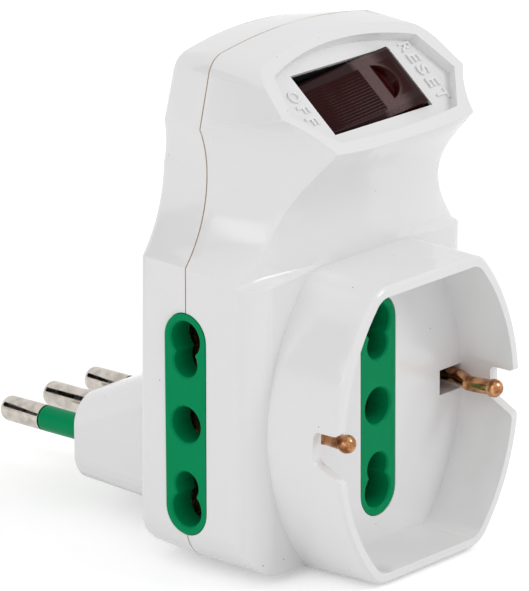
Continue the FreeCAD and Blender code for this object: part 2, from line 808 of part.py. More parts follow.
collar_root = collar_outline(
    "collar_root", front_y + 1.0, size("collar_wall") + size("collar_draft"), size("recess_corner") + size("collar_wall")
)
rim_bevel = size("rim_bevel")
collar_edge = collar_outline(
    "collar_edge", rim_bevel - size("collar_depth"), size("collar_wall"), size("recess_corner") + size("collar_wall")
)
collar_rim = collar_outline(
    "collar_rim",
    -size("collar_depth"),
    size("collar_wall") - rim_bevel,
    size("recess_corner") + size("collar_wall") - rim_bevel,
)
collar = loft("collar", [collar_root, collar_edge, collar_rim], True)
recess_cut = extrude(
    "recess_cut", collar_outline("recess_outline", floor_y, 0.0, size("recess_corner")), size("recess") + 1.0
)
floor_back = floor_y + wall
cavity_front = front_y + wall
behind_floor = extrude(
    "behind_floor", collar_outline("behind_floor_outline", cavity_front + 1.0, -wall, 1.2), cavity_front + 1.0 - floor_back
)

rim_y = -size("collar_depth")
notch_y = rim_y + size("notch_depth")
notch_low = outlet_z - size("notch_half")
notch_high = outlet_z + size("notch_half")
mouth = size("notch_mouth")
mouth_low = notch_low - size("notch_flare")
notch_steps = [
    ((rim_y - 2.0, notch_high + mouth),),
    ((rim_y - 2.0, mouth_low - mouth),),
    ((rim_y, mouth_low - mouth), (rim_y + mouth * 0.2, mouth_low - mouth * 0.15)),
    ((rim_y + mouth, mouth_low + mouth * 0.5),),
    ((notch_y - 0.9, notch_low), (notch_y - 0.25, notch_low + 0.4)),
    ((notch_y, notch_low + 1.1),),
    ((notch_y, notch_high - 0.9), (notch_y - 0.264, notch_high - 0.264)),
    ((notch_y - 0.9, notch_high),),
    ((rim_y + mouth, notch_high), (rim_y + mouth * (1 - HALF_ROOT), notch_high + mouth * (1 - HALF_ROOT))),
    ((rim_y, notch_high + mouth),),
]
notch_left = extrude("notch_left", outline("notch_left_side", notch_steps, "YZ", -far), far - 16.0)
notch_right = extrude("notch_right", outline("notch_right_side", notch_steps, "YZ", 16.0), far - 16.0)
slot_cuts = []
for label, side in (("left", -1.0), ("right", 1.0)):
    slot_end = size("recess_half_width") - seat_gap
    inner = (slot_end - size("clip_slot")) * side
    outer = slot_end * side
    low_x, high_x = (inner, outer) if side > 0 else (outer, inner)
    half = size("clip_slot_half")
    slot_cuts.append(
        box(
            f"{label}_clip_slot",
            (low_x, floor_y - 1.0, outlet_z - half),
            (high_x, cavity_front + 0.5, outlet_z + half),
        )
    )

lip_gap = seat_gap / 2
lip_inset = wall / 2
seam_y = parting_y - size("seam")
front_seam = box("front_seam", (-far, seam_y, -far), (far, 10.0, far))
groove = extrude(
    "groove", casing_outline("groove_outline", parting_y, lip_inset - lip_gap), size("seam_lip") + size("seam")
)
front_skin = cut("front_skin", outer_front, inner_front, front_seam, groove)
plate_block = meet("plate_block", under_plate, outer_front)
front_ribs = []
rib_half = size("rib") / 2
for label, side in (("left", -1.0), ("right", 1.0)):
    middle = size("front_rib_x") * side
    front_ribs.append(
        box(
            f"{label}_front_rib",
            (middle - rib_half, floor_back - 0.5, outlet_z - size("live_offset") - size("live_half_height")),
            (
                middle + rib_half,
                parting_y - size("jaw_gap") - size("strip") - seat_gap,
                outlet_z + size("live_offset") + size("live_half_height"),
            ),
        )
    )
screw_places = [
    ("left", size("screw_side") - size("half_width"), size("screw_z"), size("column_radius")),
    ("right", size("half_width") - size("screw_side"), size("screw_z"), size("column_radius")),
    ("upper", Dim.of(0.0), size("top_screw_z"), size("column_radius") + 0.6),
]
front_columns = []
front_bores = []
rear_columns = []
rear_cups = []
for label, across, up, radius in screw_places:
    front_columns.append(
        rod(f"{label}_front_column", radius, (across, front_y + 1.0, up), seam_y - front_y - 1.0, "y")
    )
    front_bores.append(
        rod(f"{label}_thread_bore", size("screw_radius") + fit_gap, (across, cavity_front - 0.5, up), 20.0, "y")
    )
    rear_columns.append(
        rod(f"{label}_rear_column", radius, (across, parting_y, up), back_y - parting_y - 1.0, "y")
    )
    cup_deep = size("screw_sink") + size("screw_head") + size("cup_floor")
    rear_columns.append(
        rod(f"{label}_rear_cup_wall", size("cup_radius") + 1.0, (across, back_y - cup_deep, up), cup_deep - 1.0, "y")
    )
    rear_cups.append(
        rod(f"{label}_cup", size("cup_radius"), (across, back_y - size("screw_sink") - size("screw_head"), up), size("back_depth"), "y")
    )
    rear_cups.append(
        rod(f"{label}_way", size("screw_radius") + seat_gap, (across, parting_y - 1.0, up), size("parting_depth"), "y")
    )

kept = fuse("kept", *front_columns, *front_ribs)
behind_floor_tool = cut("behind_floor_tool", behind_floor, kept)
front_solid = fuse("front_solid", front_skin, plate_block, collar, *front_columns, *front_ribs)
front_shell = cut(
    "front_shell",
    front_solid,
    above_rim,
    plate_recess,
    window,
    recess_cut,
    behind_floor_tool,
    notch_left,
    notch_right,
    *slot_cuts,
    *front_bores,
    left_seat,
    right_seat,
    front_seat,
)


# Rear shell with the sloped plug boss


def boss_outline(name, depth, half_width, under, over, corner):
    """Rounded rectangle round the three pins."""
    half_width = Dim.of(half_width)
    near = corner * (1 - HALF_ROOT)
    steps = [
        ((half_width - corner, -under), (half_width - near, near - under)),
        ((half_width, corner - under),),
        ((half_width, over - corner), (half_width - near, over - near)),
        ((half_width - corner, over),),
        ((corner - half_width, over), (near - half_width, over - near)),
        ((-half_width, over - corner),),
        ((-half_width, corner - under), (near - half_width, near - under)),
        ((corner - half_width, -under),),
    ]
    return outline(name, steps, "XZ", depth)


outer_rear = rear_form("rear_outer", Dim.of(0.0), back_y, size("back_edge"))
inner_rear = rear_form("rear_inner", wall, back_y - wall, 0.0)
boss = loft(
    "boss",
    [
        boss_outline("boss_end", 0.0, size("boss_half_width"), size("boss_under"), size("boss_over"), size("boss_round")),
        boss_outline(
            "boss_base",
            back_y - 0.5,
            size("boss_base_half_width"),
            size("boss_base_under"),
            size("boss_base_over"),
            size("boss_round"),
        ),
    ],
    True,
)
rear_skin = cut("rear_skin", outer_rear, inner_rear)
lip_solid = extrude("lip_solid", casing_outline("lip_outline", parting_y, lip_inset + lip_gap), size("seam_lip"))
lip_core = extrude("lip_core", casing_outline("lip_core_outline", parting_y, wall), size("seam_lip"))
rear_lip = cut("rear_lip", lip_solid, lip_core)
rear_ribs = []
strip_back = parting_y + size("jaw_gap") + size("strip")
for label, side in (("left", -1.0), ("right", 1.0)):
    middle = size("rear_rib_x") * side
    rear_ribs.append(
        box(
            f"{label}_rear_rib",
            (middle - rib_half, strip_back + seat_gap, outlet_z - size("live_offset") - size("live_half_height")),
            (middle + rib_half, back_y - 1.0, outlet_z + size("live_offset") + size("live_half_height")),
        )
    )
pin_bores = []
for label, across in (("line", -size("pin_pitch")), ("earth", Dim.of(0.0)), ("neutral", size("pin_pitch"))):
    bore_start = back_y - wall - 2.0
    pin_bores.append(
        rod(f"{label}_pin_bore", size("pin_root_radius") + fit_gap, (across, bore_start, 0.0), 1.0 - bore_start, "y")
    )
    pin_bores.append(rod(f"{label}_pin_seat", size("pin_seat_radius"), (across, -size("pin_seat"), 0.0), 2.0, "y"))
rear_solid = fuse("rear_solid", rear_skin, rear_lip, boss, *rear_columns, *rear_ribs)
rear_shell = cut("rear_shell", rear_solid, *rear_cups, *pin_bores, left_seat, right_seat)


# Plug pins and their sleeves

flange_y = back_y - wall - seat_gap
pin_tip = size("pin_tip_round")


def plug_pin(name, across, contact_y, sleeved):
    """One turned pin, with a thinner shank where it has a sleeve."""
    radius = size("pin_radius")
    root = size("pin_root_radius")
    tip_y = size("pin_length")
    neck = [((root, flange_y),)]
    if not sleeved:
        neck += [((root, root_end),), ((radius, root_end),)]
    else:
        thin = radius - size("sleeve_wall")
        neck += [((root, sleeve_start - fit_gap),), ((thin, sleeve_start - fit_gap),)]
        neck += [((thin, size("sleeve_length") + fit_gap),), ((radius, size("sleeve_length") + fit_gap),)]
    round_off = pin_tip * (1 - HALF_ROOT)
    steps = [
        ((0.0, contact_y),),
        ((size("pin_tail_radius"), contact_y),),
        ((size("pin_tail_radius"), flange_y - size("pin_flange")),),
        ((size("pin_flange_radius"), flange_y - size("pin_flange")),),
        ((size("pin_flange_radius"), flange_y),),
        *neck,
        ((radius, tip_y - pin_tip), (radius - round_off, tip_y - round_off)),
        ((radius - pin_tip, tip_y),),
        ((0.0, tip_y),),
    ]
    pin = revolve(name, outline(f"{name}_profile", steps), Vector(0, 1, 0))
    bind(pin, "Placement.Base.x", across)
    return pin


def pin_sleeve(name, across):
    """The insulating tube round a live pin's root."""
    inner = size("pin_radius") - size("sleeve_wall") + fit_gap
    outer = size("pin_radius")
    end_y = size("sleeve_length")
    bevel = size("sleeve_bevel") * 0.5
    steps = [
        ((inner, sleeve_start),),
        ((size("pin_root_radius"), sleeve_start),),
        ((size("pin_root_radius"), root_end),),
        ((outer, root_end),),
        ((outer, end_y - bevel),),
        ((outer - bevel, end_y),),
        ((inner, end_y),),
    ]
    sleeve = revolve(name, outline(f"{name}_profile", steps), Vector(0, 1, 0))
    bind(sleeve, "Placement.Base.x", across)
    return sleeve


sleeve_start = -size("sleeve_root")
root_end = -size("pin_root_end")
feed_y = -size("feed_depth")
tab_y = -size("tab_depth")
line_pin = plug_pin("line_pin", -size("pin_pitch"), feed_y + fit_gap, True)
earth_pin = plug_pin("earth_pin", Dim.of(0.0), tab_y + fit_gap, False)
neutral_pin = plug_pin("neutral_pin", size("pin_pitch"), strip_back + fit_gap, True)
line_sleeve = pin_sleeve("line_pin_sleeve", -size("pin_pitch"))
neutral_sleeve = pin_sleeve("neutral_pin_sleeve", size("pin_pitch"))


# Contact strips, bent from sheet


def busbar(name, middle, half, extra=()):
    """A strip behind the outlets with leaves for all three of them."""
    low = middle - half
    high = middle + half
    sheet_thick = size("strip")
    back_leaf_y = parting_y + size("jaw_gap")
    front_leaf_y = parting_y - size("jaw_gap")
    leaf_end = size("half_width") - size("leaf_side")
    pieces = [box(f"{name}_strip", (-leaf_end, back_leaf_y, low), (leaf_end, strip_back, high))]
    for label, side in (("left", -1.0), ("right", 1.0)):
        for part, near, distance, front in (
            ("web", size("leaf_root"), size("leaf_root") + sheet_thick, front_leaf_y - sheet_thick),
            ("leaf", size("leaf_root"), leaf_end, front_leaf_y - sheet_thick),
            ("front_leaf", size("jaw_gap"), size("jaw_gap") + sheet_thick, back_leaf_y - size("front_leaf")),
        ):
            left, right = (near, distance) if side > 0 else (-distance, -near)
            rear = front_leaf_y if part == "leaf" else strip_back
            pieces.append(box(f"{name}_{label}_{part}", (left, front, low), (right, rear, high)))
    tip_window = box(
        f"{name}_tip_window",
        (-size("jaw_gap"), back_leaf_y - 1.0, low + size("rail")),
        (size("jaw_gap"), strip_back + 0.1, high - size("rail")),
    )
    return cut(name, fuse(f"{name}_blank", *pieces, *extra), tip_window)


live_half = size("live_half_height")
earth_half = size("earth_half_height")
earth_low = outlet_z - earth_half
tab_half = size("tab_half")
line_busbar = busbar("line_busbar", outlet_z + size("live_offset"), live_half)
neutral_busbar = busbar("neutral_busbar", outlet_z - size("live_offset"), live_half)
earth_tab = [
    box("earth_tab_fold", (-tab_half, strip_back - 0.1, earth_low), (tab_half, tab_y, earth_low + size("rail"))),
    box(
        "earth_tab",
        (-tab_half, tab_y - size("strip"), -size("tab_drop")),
        (tab_half, tab_y, earth_low + size("rail")),
    ),
]
earth_busbar = busbar("earth_busbar", outlet_z, earth_half, earth_tab)
line_feed_strip = box(
    "line_feed_strip",
    (-size("feed_outer"), feed_y - size("strip"), -size("tab_drop")),
    (-size("feed_inner"), feed_y, size("feed_top")),
)
load_low = outlet_z + size("live_offset") + live_half + fit_gap
load_post = box(
    "load_post",
    (size("load_inner"), strip_back - size("strip"), load_low),
    (size("load_outer"), strip_back, size("load_top")),
)
load_arm = box(
    "load_arm",
    (size("terminal_thick") / 2 + fit_gap, strip_back - size("strip"), size("load_arm_z")),
    (size("load_outer"), strip_back, size("load_top")),
)
load_strip = fuse("load_strip", load_post, load_arm)


# Earth clips of the front outlet


def earth_clip(name, side):
    """A bent round clip from the earth leaf through the floor slot to the rim."""
    radius = size("clip_radius")
    side_x = size("recess_half_width")
    root = (side_x - size("clip_root")) * side
    foot = root - size("clip_foot") * side
    foot_y = parting_y - size("jaw_gap") - size("strip") - fit_gap
    foot_front = foot_y - size("clip_foot_thick")
    middle = outlet_z + size("clip_rise")
    tip = (side_x - size("clip_tip")) * side
    tip_y = size("clip_tip_in") + rim_y
    route = [
        ((root, foot_y - 0.2),),
        ((root, floor_y - 0.6),),
        (((side_x - size("clip_bulge")) * side, size("clip_bulge_in") + rim_y),),
        ((tip, tip_y),),
    ]
    path = outline(f"{name}_path", route, "XY", middle, closed=False)
    ring = [((root + radius, middle), (root, middle + radius)), ((root - radius, middle), (root, middle - radius))]
    stem = sweep(f"{name}_stem", outline(f"{name}_section", ring, "XZ", foot_y - 0.2), path)
    low_x, high_x = (foot, root) if side > 0 else (root, foot)
    sole = box(f"{name}_foot", (low_x, foot_front, middle - radius), (high_x, foot_y, middle + radius))
    knob = document.addObject("Part::Sphere", f"{name}_knob")
    bind(knob, "Radius", size("clip_knob"))
    place(knob, (tip, tip_y, middle))
    return fuse(name, stem, sole, knob)


left_clip = earth_clip("left_earth_clip", -1.0)
right_clip = earth_clip("right_earth_clip", 1.0)


# Screws


def casing_screw(name, across, up):
    """A pan head screw with a cross recess, seen from the back."""
    head_top = back_y - size("screw_sink")
    seat_y = head_top - size("screw_head")
    head_radius = size("screw_head_radius")
    steps = [
        ((0.0, seat_y - size("screw_length")),),
        ((size("screw_radius") * 0.5, seat_y - size("screw_length")),),
        ((size("screw_radius"), seat_y - size("screw_length") + 1.2),),
        ((size("screw_radius"), seat_y),),
        ((head_radius, seat_y),),
        ((head_radius, head_top - 0.7),),
        ((head_radius - 0.8, head_top),),
        ((0.0, head_top),),
    ]
    blank = revolve(f"{name}_blank", outline(f"{name}_profile", steps), Vector(0, 1, 0))
    recess_low = head_top - size("screw_recess")
    wide = head_radius * 0.6
    thin = size("screw_slot") / 2
    first = box(f"{name}_slot_across", (-wide, recess_low, -thin), (wide, head_top + 1.0, thin))
    second = box(f"{name}_slot_up", (-thin, recess_low, -wide), (thin, head_top + 1.0, wide))
    screw = cut(name, blank, first, second)
    bind(screw, "Placement.Base.x", across)
    bind(screw, "Placement.Base.z", up)
    return screw


screws = [casing_screw(f"{label}_screw", across, up) for label, across, up, radius in screw_places]


# Overload switch: made in the slanted frame, then turned into the bezel

SPRING_TURNS = 3
axle_n = -size("axle_depth")
housing_top = -size("plate") - seat_gap
housing_low = -size("plate") - size("housing_depth")
floor_n = housing_low + size("housing_wall")
length = size("housing_half_length")
width = size("housing_half_width")
thin_wall = size("housing_wall")
terminal = size("terminal_thick") / 2
terminal_half = size("terminal_half")
contact_x = size("contact_x")
blade_top = axle_n - size("plunger_reach") - size("blade_gap")
blade_low = blade_top - size("blade_thick")

housing_blank = box("housing_blank", (-length, -width, housing_low), (length, width, housing_top))
housing_inside = box(
    "housing_inside",
    (thin_wall - length, thin_wall - width, floor_n),
    (length - thin_wall, width - thin_wall, 5.0),
)
lamp_n = -size("lamp_depth")
lamp_low = lamp_n - size("lamp_radius")
lamp_shelf = box(
    "lamp_shelf",
    (size("lamp_x") - size("lamp_radius"), -size("lamp_half"), lamp_low - fit_gap - 0.9),
    (length - 0.1, size("lamp_half"), lamp_low - fit_gap),
)
axle_bore = rod("axle_bore", size("axle_radius") + fit_gap, (0.0, -width - 1.0, axle_n), width * 2 + 2.0, "y")
housing_cuts = [housing_inside, axle_bore]
for label, middle in (("pivot", Dim.of(0.0)), ("fixed", -contact_x)):
    housing_cuts.append(
        box(
            f"{label}_terminal_slot",
            (middle - terminal - fit_gap, -terminal_half - fit_gap, housing_low - 1.0),
            (middle + terminal + fit_gap, terminal_half + fit_gap, floor_n + 1.0),
        )
    )
housing_shell = cut("housing_shell", housing_blank, *housing_cuts)
switch_housing = slant(fuse("switch_housing", housing_shell, lamp_shelf), (0.0, 0.0, 0.0))


# Rocker, made about its axle and then tilted to its OFF position

rocker_width = size("rocker_half_width")
end_top = size("rocker_end_top")
top_half = size("rocker_top_half")
skirt = size("rocker_skirt")
end_radius = size("rocker_end_radius")
rocker_wall = size("rocker_wall")
bevel = size("rocker_bevel")
shoulder_n = end_top - bevel
shoulder_reach = root_of(end_radius * end_radius - shoulder_n * shoulder_n)
skirt_reach = root_of(end_radius * end_radius - skirt * skirt)
rocker_steps = [
    ((-skirt_reach, -skirt),),
    ((skirt_reach, -skirt), (end_radius, 0.0)),
    ((shoulder_reach, shoulder_n),),
    ((top_half, end_top), (0.0, size("rocker_top"))),
    ((-top_half, end_top),),
    ((-shoulder_reach, shoulder_n), (-end_radius, 0.0)),
]
rocker_blank = extrude("rocker_blank", outline("rocker_profile", rocker_steps, "XZ", rocker_width), rocker_width * 2)
hub_half = size("hub_half")
hub_drop = size("hub_drop")
rocker_hub = box("rocker_hub", (-hub_half, -hub_half, -hub_drop), (hub_half, hub_half, size("rocker_top") - 1.0))
rocker_cuts = []
for label, side in (("left", -1.0), ("right", 1.0)):
    near = hub_half
    distance = end_radius - rocker_wall - 0.35
    left, right = (near, distance) if side > 0 else (-distance, -near)
    rocker_cuts.append(
        box(
            f"{label}_rocker_hollow",
            (left, rocker_wall - rocker_width, -hub_drop),
            (right, rocker_width - rocker_wall, size("rocker_top") - rocker_wall),
        )
    )
    edge_steps = [
        ((rocker_width * side, end_top - bevel),),
        ((rocker_width * side + side, end_top - bevel),),
        ((rocker_width * side + side, end_top + 0.6),),
        (((rocker_width - bevel) * side - side * 0.5, end_top + 0.5),),
    ]
    rocker_cuts.append(
        extrude(f"{label}_edge_bevel", outline(f"{label}_edge_profile", edge_steps, "YZ", -12.0), 24.0)
    )
scoop_levels = []
for label, shrink, height in (
    ("mouth", 0.0, size("rocker_top") + 0.25),
    ("bottom", 1.0, size("rocker_top") - size("scoop_depth")),
):
    chord_x = size("scoop_start") + shrink * 1.35
    half = size("scoop_half") - shrink * 0.6
    scoop_steps = [((chord_x, -half), (size("scoop_end") - shrink * 0.7, 0.0)), ((chord_x, half),)]
    scoop_levels.append(outline(f"scoop_{label}", scoop_steps, "XY", height))
rocker_cuts.append(loft("finger_scoop", scoop_levels, True))
rocker_cuts.append(rod("rocker_axle_bore", size("axle_radius") + fit_gap, (0.0, -8.0, 0.0), 16.0, "y"))
bore_top = -size("plunger_bore_top")
rocker_cuts.append(
    rod("plunger_bore", size("plunger_radius") + fit_gap, (0.0, 0.0, -hub_drop - 1.0), bore_top + hub_drop + 1.0, "z")
)
rest = -size("rocker_tilt").value
axle_point = (0.0, 0.0, axle_n)
rocker_solid = fuse("rocker_solid", rocker_blank, rocker_hub)
rocker = slant(cut("rocker", rocker_solid, *rocker_cuts), axle_point, rest)

axle_body = rod("axle_body", size("axle_radius"), (0.0, 0.1 - width, 0.0), (width - 0.1) * 2, "y")
axle_groove = rod("axle_groove", size("axle_radius") - 0.3, (0.0, -0.4, 0.0), 0.8, "y")
rocker_axle = slant(fuse("rocker_axle", axle_body, axle_groove), axle_point)

plunger_radius = size("plunger_radius")
plunger_low = -size("plunger_reach")
plunger_high = plunger_low + size("plunger_length")
plunger_steps = [
    ((0.0, plunger_low), (plunger_radius * HALF_ROOT, plunger_low + plunger_radius * (1 - HALF_ROOT))),
    ((plunger_radius, plunger_low + plunger_radius),),
    ((plunger_radius, plunger_high),),
    ((0.0, plunger_high),),
]
plunger_profile = outline("plunger_profile", plunger_steps, "XZ", 0.0)
plunger = slant(revolve("plunger", plunger_profile, Vector(0, 0, 1)), axle_point, rest)

spring_wire = size("spring_wire")
spring_radius = plunger_radius - spring_wire
spring_low = plunger_high + spring_wire + fit_gap
spring_high = bore_top - spring_wire - fit_gap
spring_parts = [rod("spring_link", spring_wire * 0.8, (spring_radius, 0.0, spring_low), spring_high - spring_low, "z")]
for number in range(SPRING_TURNS):
    turn = document.addObject("Part::Torus", f"spring_turn_{number}")
    bind(turn, "Radius1", spring_radius)
    bind(turn, "Radius2", spring_wire)
    place(turn, (0.0, 0.0, spring_low + (spring_high - spring_low) * (number / (SPRING_TURNS - 1))))
    spring_parts.append(turn)
spring = slant(fuse("plunger_spring", *spring_parts), axle_point, rest)

blade_half = size("blade_half_length")
blade_width = size("blade_half_width")
blade_thick = size("blade_thick")
blade_leaf = box("blade_leaf", (-blade_half, -blade_width, 0.0), (blade_half, blade_width, blade_thick))
blade_rivet = rod("blade_rivet", size("rivet_radius"), (-contact_x, 0.0, -size("rivet")), size("rivet") * 2, "z")
blade_tilt = size("blade_tilt").value
blade_bead = rod("blade_bead", size("bead_radius"), (0.0, -blade_width, 0.0), blade_width * 2, "y")
contact_blade = slant(fuse("contact_blade", blade_leaf, blade_rivet, blade_bead), (0.0, 0.0, blade_low), blade_tilt)

terminal_low = housing_low - size("terminal_reach")
pivot_steps = [
    ((-terminal_half, terminal_low),),
    ((terminal_half, terminal_low),),
    ((terminal_half, blade_top + 0.3),),
    ((blade_width + seat_gap, blade_top + 0.3),),
    ((blade_width + seat_gap, blade_low - size("bead_radius") - fit_gap),),
    ((-blade_width - seat_gap, blade_low - size("bead_radius") - fit_gap),),
    ((-blade_width - seat_gap, blade_top + 0.3),),
    ((-terminal_half, blade_top + 0.3),),
]
pivot_plate = extrude("pivot_plate", outline("pivot_profile", pivot_steps, "YZ", -terminal), terminal * 2)
pivot_collar = box("pivot_collar", (-terminal, -terminal_half, floor_n), (terminal, terminal_half, floor_n + 0.5))
pivot_terminal = slant(fuse("pivot_terminal", pivot_plate, pivot_collar), (0.0, 0.0, 0.0))

tilt_sin = math.sin(math.radians(blade_tilt))
closed_n = blade_low - contact_x * tilt_sin - size("rivet") - fit_gap * 2
rivet_low = closed_n - size("rivet") * 2
fixed_plate = box(
    "fixed_plate",
    (-contact_x - terminal, -terminal_half, terminal_low),
    (terminal - contact_x, terminal_half, rivet_low),
)
fixed_rivet = rod("fixed_rivet", size("rivet_radius"), (-contact_x, 0.0, rivet_low), size("rivet") * 2, "z")
fixed_contact_terminal = slant(fuse("fixed_contact_terminal", fixed_plate, fixed_rivet), (0.0, 0.0, 0.0))

lamp_tube = rod("lamp_tube", size("lamp_radius"), (0.0, -size("lamp_half"), 0.0), size("lamp_half") * 2, "y")
lamp_tip = document.addObject("Part::Cone", "lamp_tip")
bind(lamp_tip, "Radius1", size("lamp_radius"))
bind(lamp_tip, "Radius2", size("lamp_radius") * 0.4)
bind(lamp_tip, "Height", 1.0)
lamp_tip.Placement = Placement(Vector(), TURN["y"])
place(lamp_tip, (0.0, size("lamp_half"), 0.0))
lamp = slant(fuse("indicator_lamp", lamp_tube, lamp_tip), (size("lamp_x"), 0.0, lamp_n))

bimetal_x = size("bimetal_x")
bimetal = size("bimetal_thick")
bimetal_base = floor_n + fit_gap
bimetal_foot = box("bimetal_foot", (bimetal_x - 3.0, -2.0, bimetal_base), (bimetal_x, 2.0, bimetal_base + bimetal))
bimetal_post = box(
    "bimetal_post",
    (bimetal_x - bimetal, -2.0, bimetal_base),
    (bimetal_x, 2.0, lamp_low - fit_gap - 1.3),
)
bimetal_strip = slant(fuse("bimetal_strip", bimetal_foot, bimetal_post), (0.0, 0.0, 0.0))


# Nodes, checks and files

NODES = [
    front_shell,
    rear_shell,
    front_insert,
    left_insert,
    right_insert,
    line_pin,
    earth_pin,
    neutral_pin,
    line_sleeve,
    neutral_sleeve,
    line_busbar,
    neutral_busbar,
    earth_busbar,
    line_feed_strip,
    load_strip,
    left_clip,
    right_clip,
    *screws,
    switch_housing,
    rocker,
    rocker_axle,
    plunger,
    spring,
    contact_blade,
    pivot_terminal,
    fixed_contact_terminal,
    lamp,
    bimetal_strip,
]

document.recompute()
for thing in document.Objects:
    if "Invalid" in thing.State or "Error" in thing.State:
        raise RuntimeError(f"{thing.Label} did not compute")
for node in NODES:
    if node.Shape.isNull() or not node.Shape.isValid() or len(node.Shape.Solids) != 1:
        raise RuntimeError(f"{node.Label} is not one valid solid")
os.makedirs("parts", exist_ok=True)
for node in NODES:
    node.Shape.exportStep(f"parts/{node.Label}.step")
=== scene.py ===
"""Switched plug adapter: the looks of the part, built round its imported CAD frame."""

import json
import logging
import math
from dataclasses import dataclass, field
from enum import Enum

import bpy
from mathutils import Euler, Matrix, Vector

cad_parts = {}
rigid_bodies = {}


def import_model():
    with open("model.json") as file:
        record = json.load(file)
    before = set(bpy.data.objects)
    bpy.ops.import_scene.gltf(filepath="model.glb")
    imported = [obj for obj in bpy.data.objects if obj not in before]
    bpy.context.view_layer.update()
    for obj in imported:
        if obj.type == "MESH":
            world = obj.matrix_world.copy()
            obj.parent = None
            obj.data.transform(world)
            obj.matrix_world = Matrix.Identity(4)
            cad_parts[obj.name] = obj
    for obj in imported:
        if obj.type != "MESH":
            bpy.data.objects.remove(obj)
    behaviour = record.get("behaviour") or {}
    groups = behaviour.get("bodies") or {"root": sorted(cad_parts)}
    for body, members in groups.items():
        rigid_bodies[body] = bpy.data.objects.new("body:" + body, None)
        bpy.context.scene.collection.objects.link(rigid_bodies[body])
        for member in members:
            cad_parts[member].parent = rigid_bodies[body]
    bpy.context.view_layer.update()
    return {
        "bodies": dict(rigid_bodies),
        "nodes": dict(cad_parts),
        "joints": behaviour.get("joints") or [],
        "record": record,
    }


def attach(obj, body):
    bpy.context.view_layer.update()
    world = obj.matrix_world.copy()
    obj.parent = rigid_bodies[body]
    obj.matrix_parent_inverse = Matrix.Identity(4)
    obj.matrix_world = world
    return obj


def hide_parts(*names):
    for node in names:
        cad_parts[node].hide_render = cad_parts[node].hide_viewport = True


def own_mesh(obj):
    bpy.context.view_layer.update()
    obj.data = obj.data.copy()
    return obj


LOG = logging.getLogger("switched_plug_adapter")
MM = 0.001
SMOOTH_ANGLE = math.radians(35)
WELD_MM = 0.002
EDGE_SEGMENTS = 3
Socket = bpy.types.NodeSocket


# Colour and node helpers


def linear(code: str) -> tuple[float, float, float, float]:
    """Turn an sRGB hex colour into linear red, green, blue and alpha.

    Args:
        code: Six hex digits.

    Returns:
        The linear colour with an alpha of 1.
    """
    channels = []
    for start in (0, 2, 4):
        value = int(code[start : start + 2], 16) / 255
        channels.append(value / 12.92 if value <= 0.04045 else ((value + 0.055) / 1.055) ** 2.4)
    return (channels[0], channels[1], channels[2], 1.0)


def add_node(
    tree: bpy.types.NodeTree,
    kind: str,
    settings: dict[str, object] | None = None,
    inputs: dict[str | int, object] | None = None,
) -> bpy.types.Node:
    """Add a node with its settings, and its inputs as values or links.

    Args:
        tree: The node tree that gets the node.
        kind: The node's type name.
        settings: Properties of the node itself.
        inputs: Input sockets by name or number, each a value or an output socket.

    Returns:
        The new node.
    """
    node = tree.nodes.new(kind)
    for name, value in (settings or {}).items():
        setattr(node, name, value)
    for name, value in (inputs or {}).items():
        if isinstance(value, Socket):
            tree.links.new(value, node.inputs[name])
        else:
            node.inputs[name].default_value = value
    return node


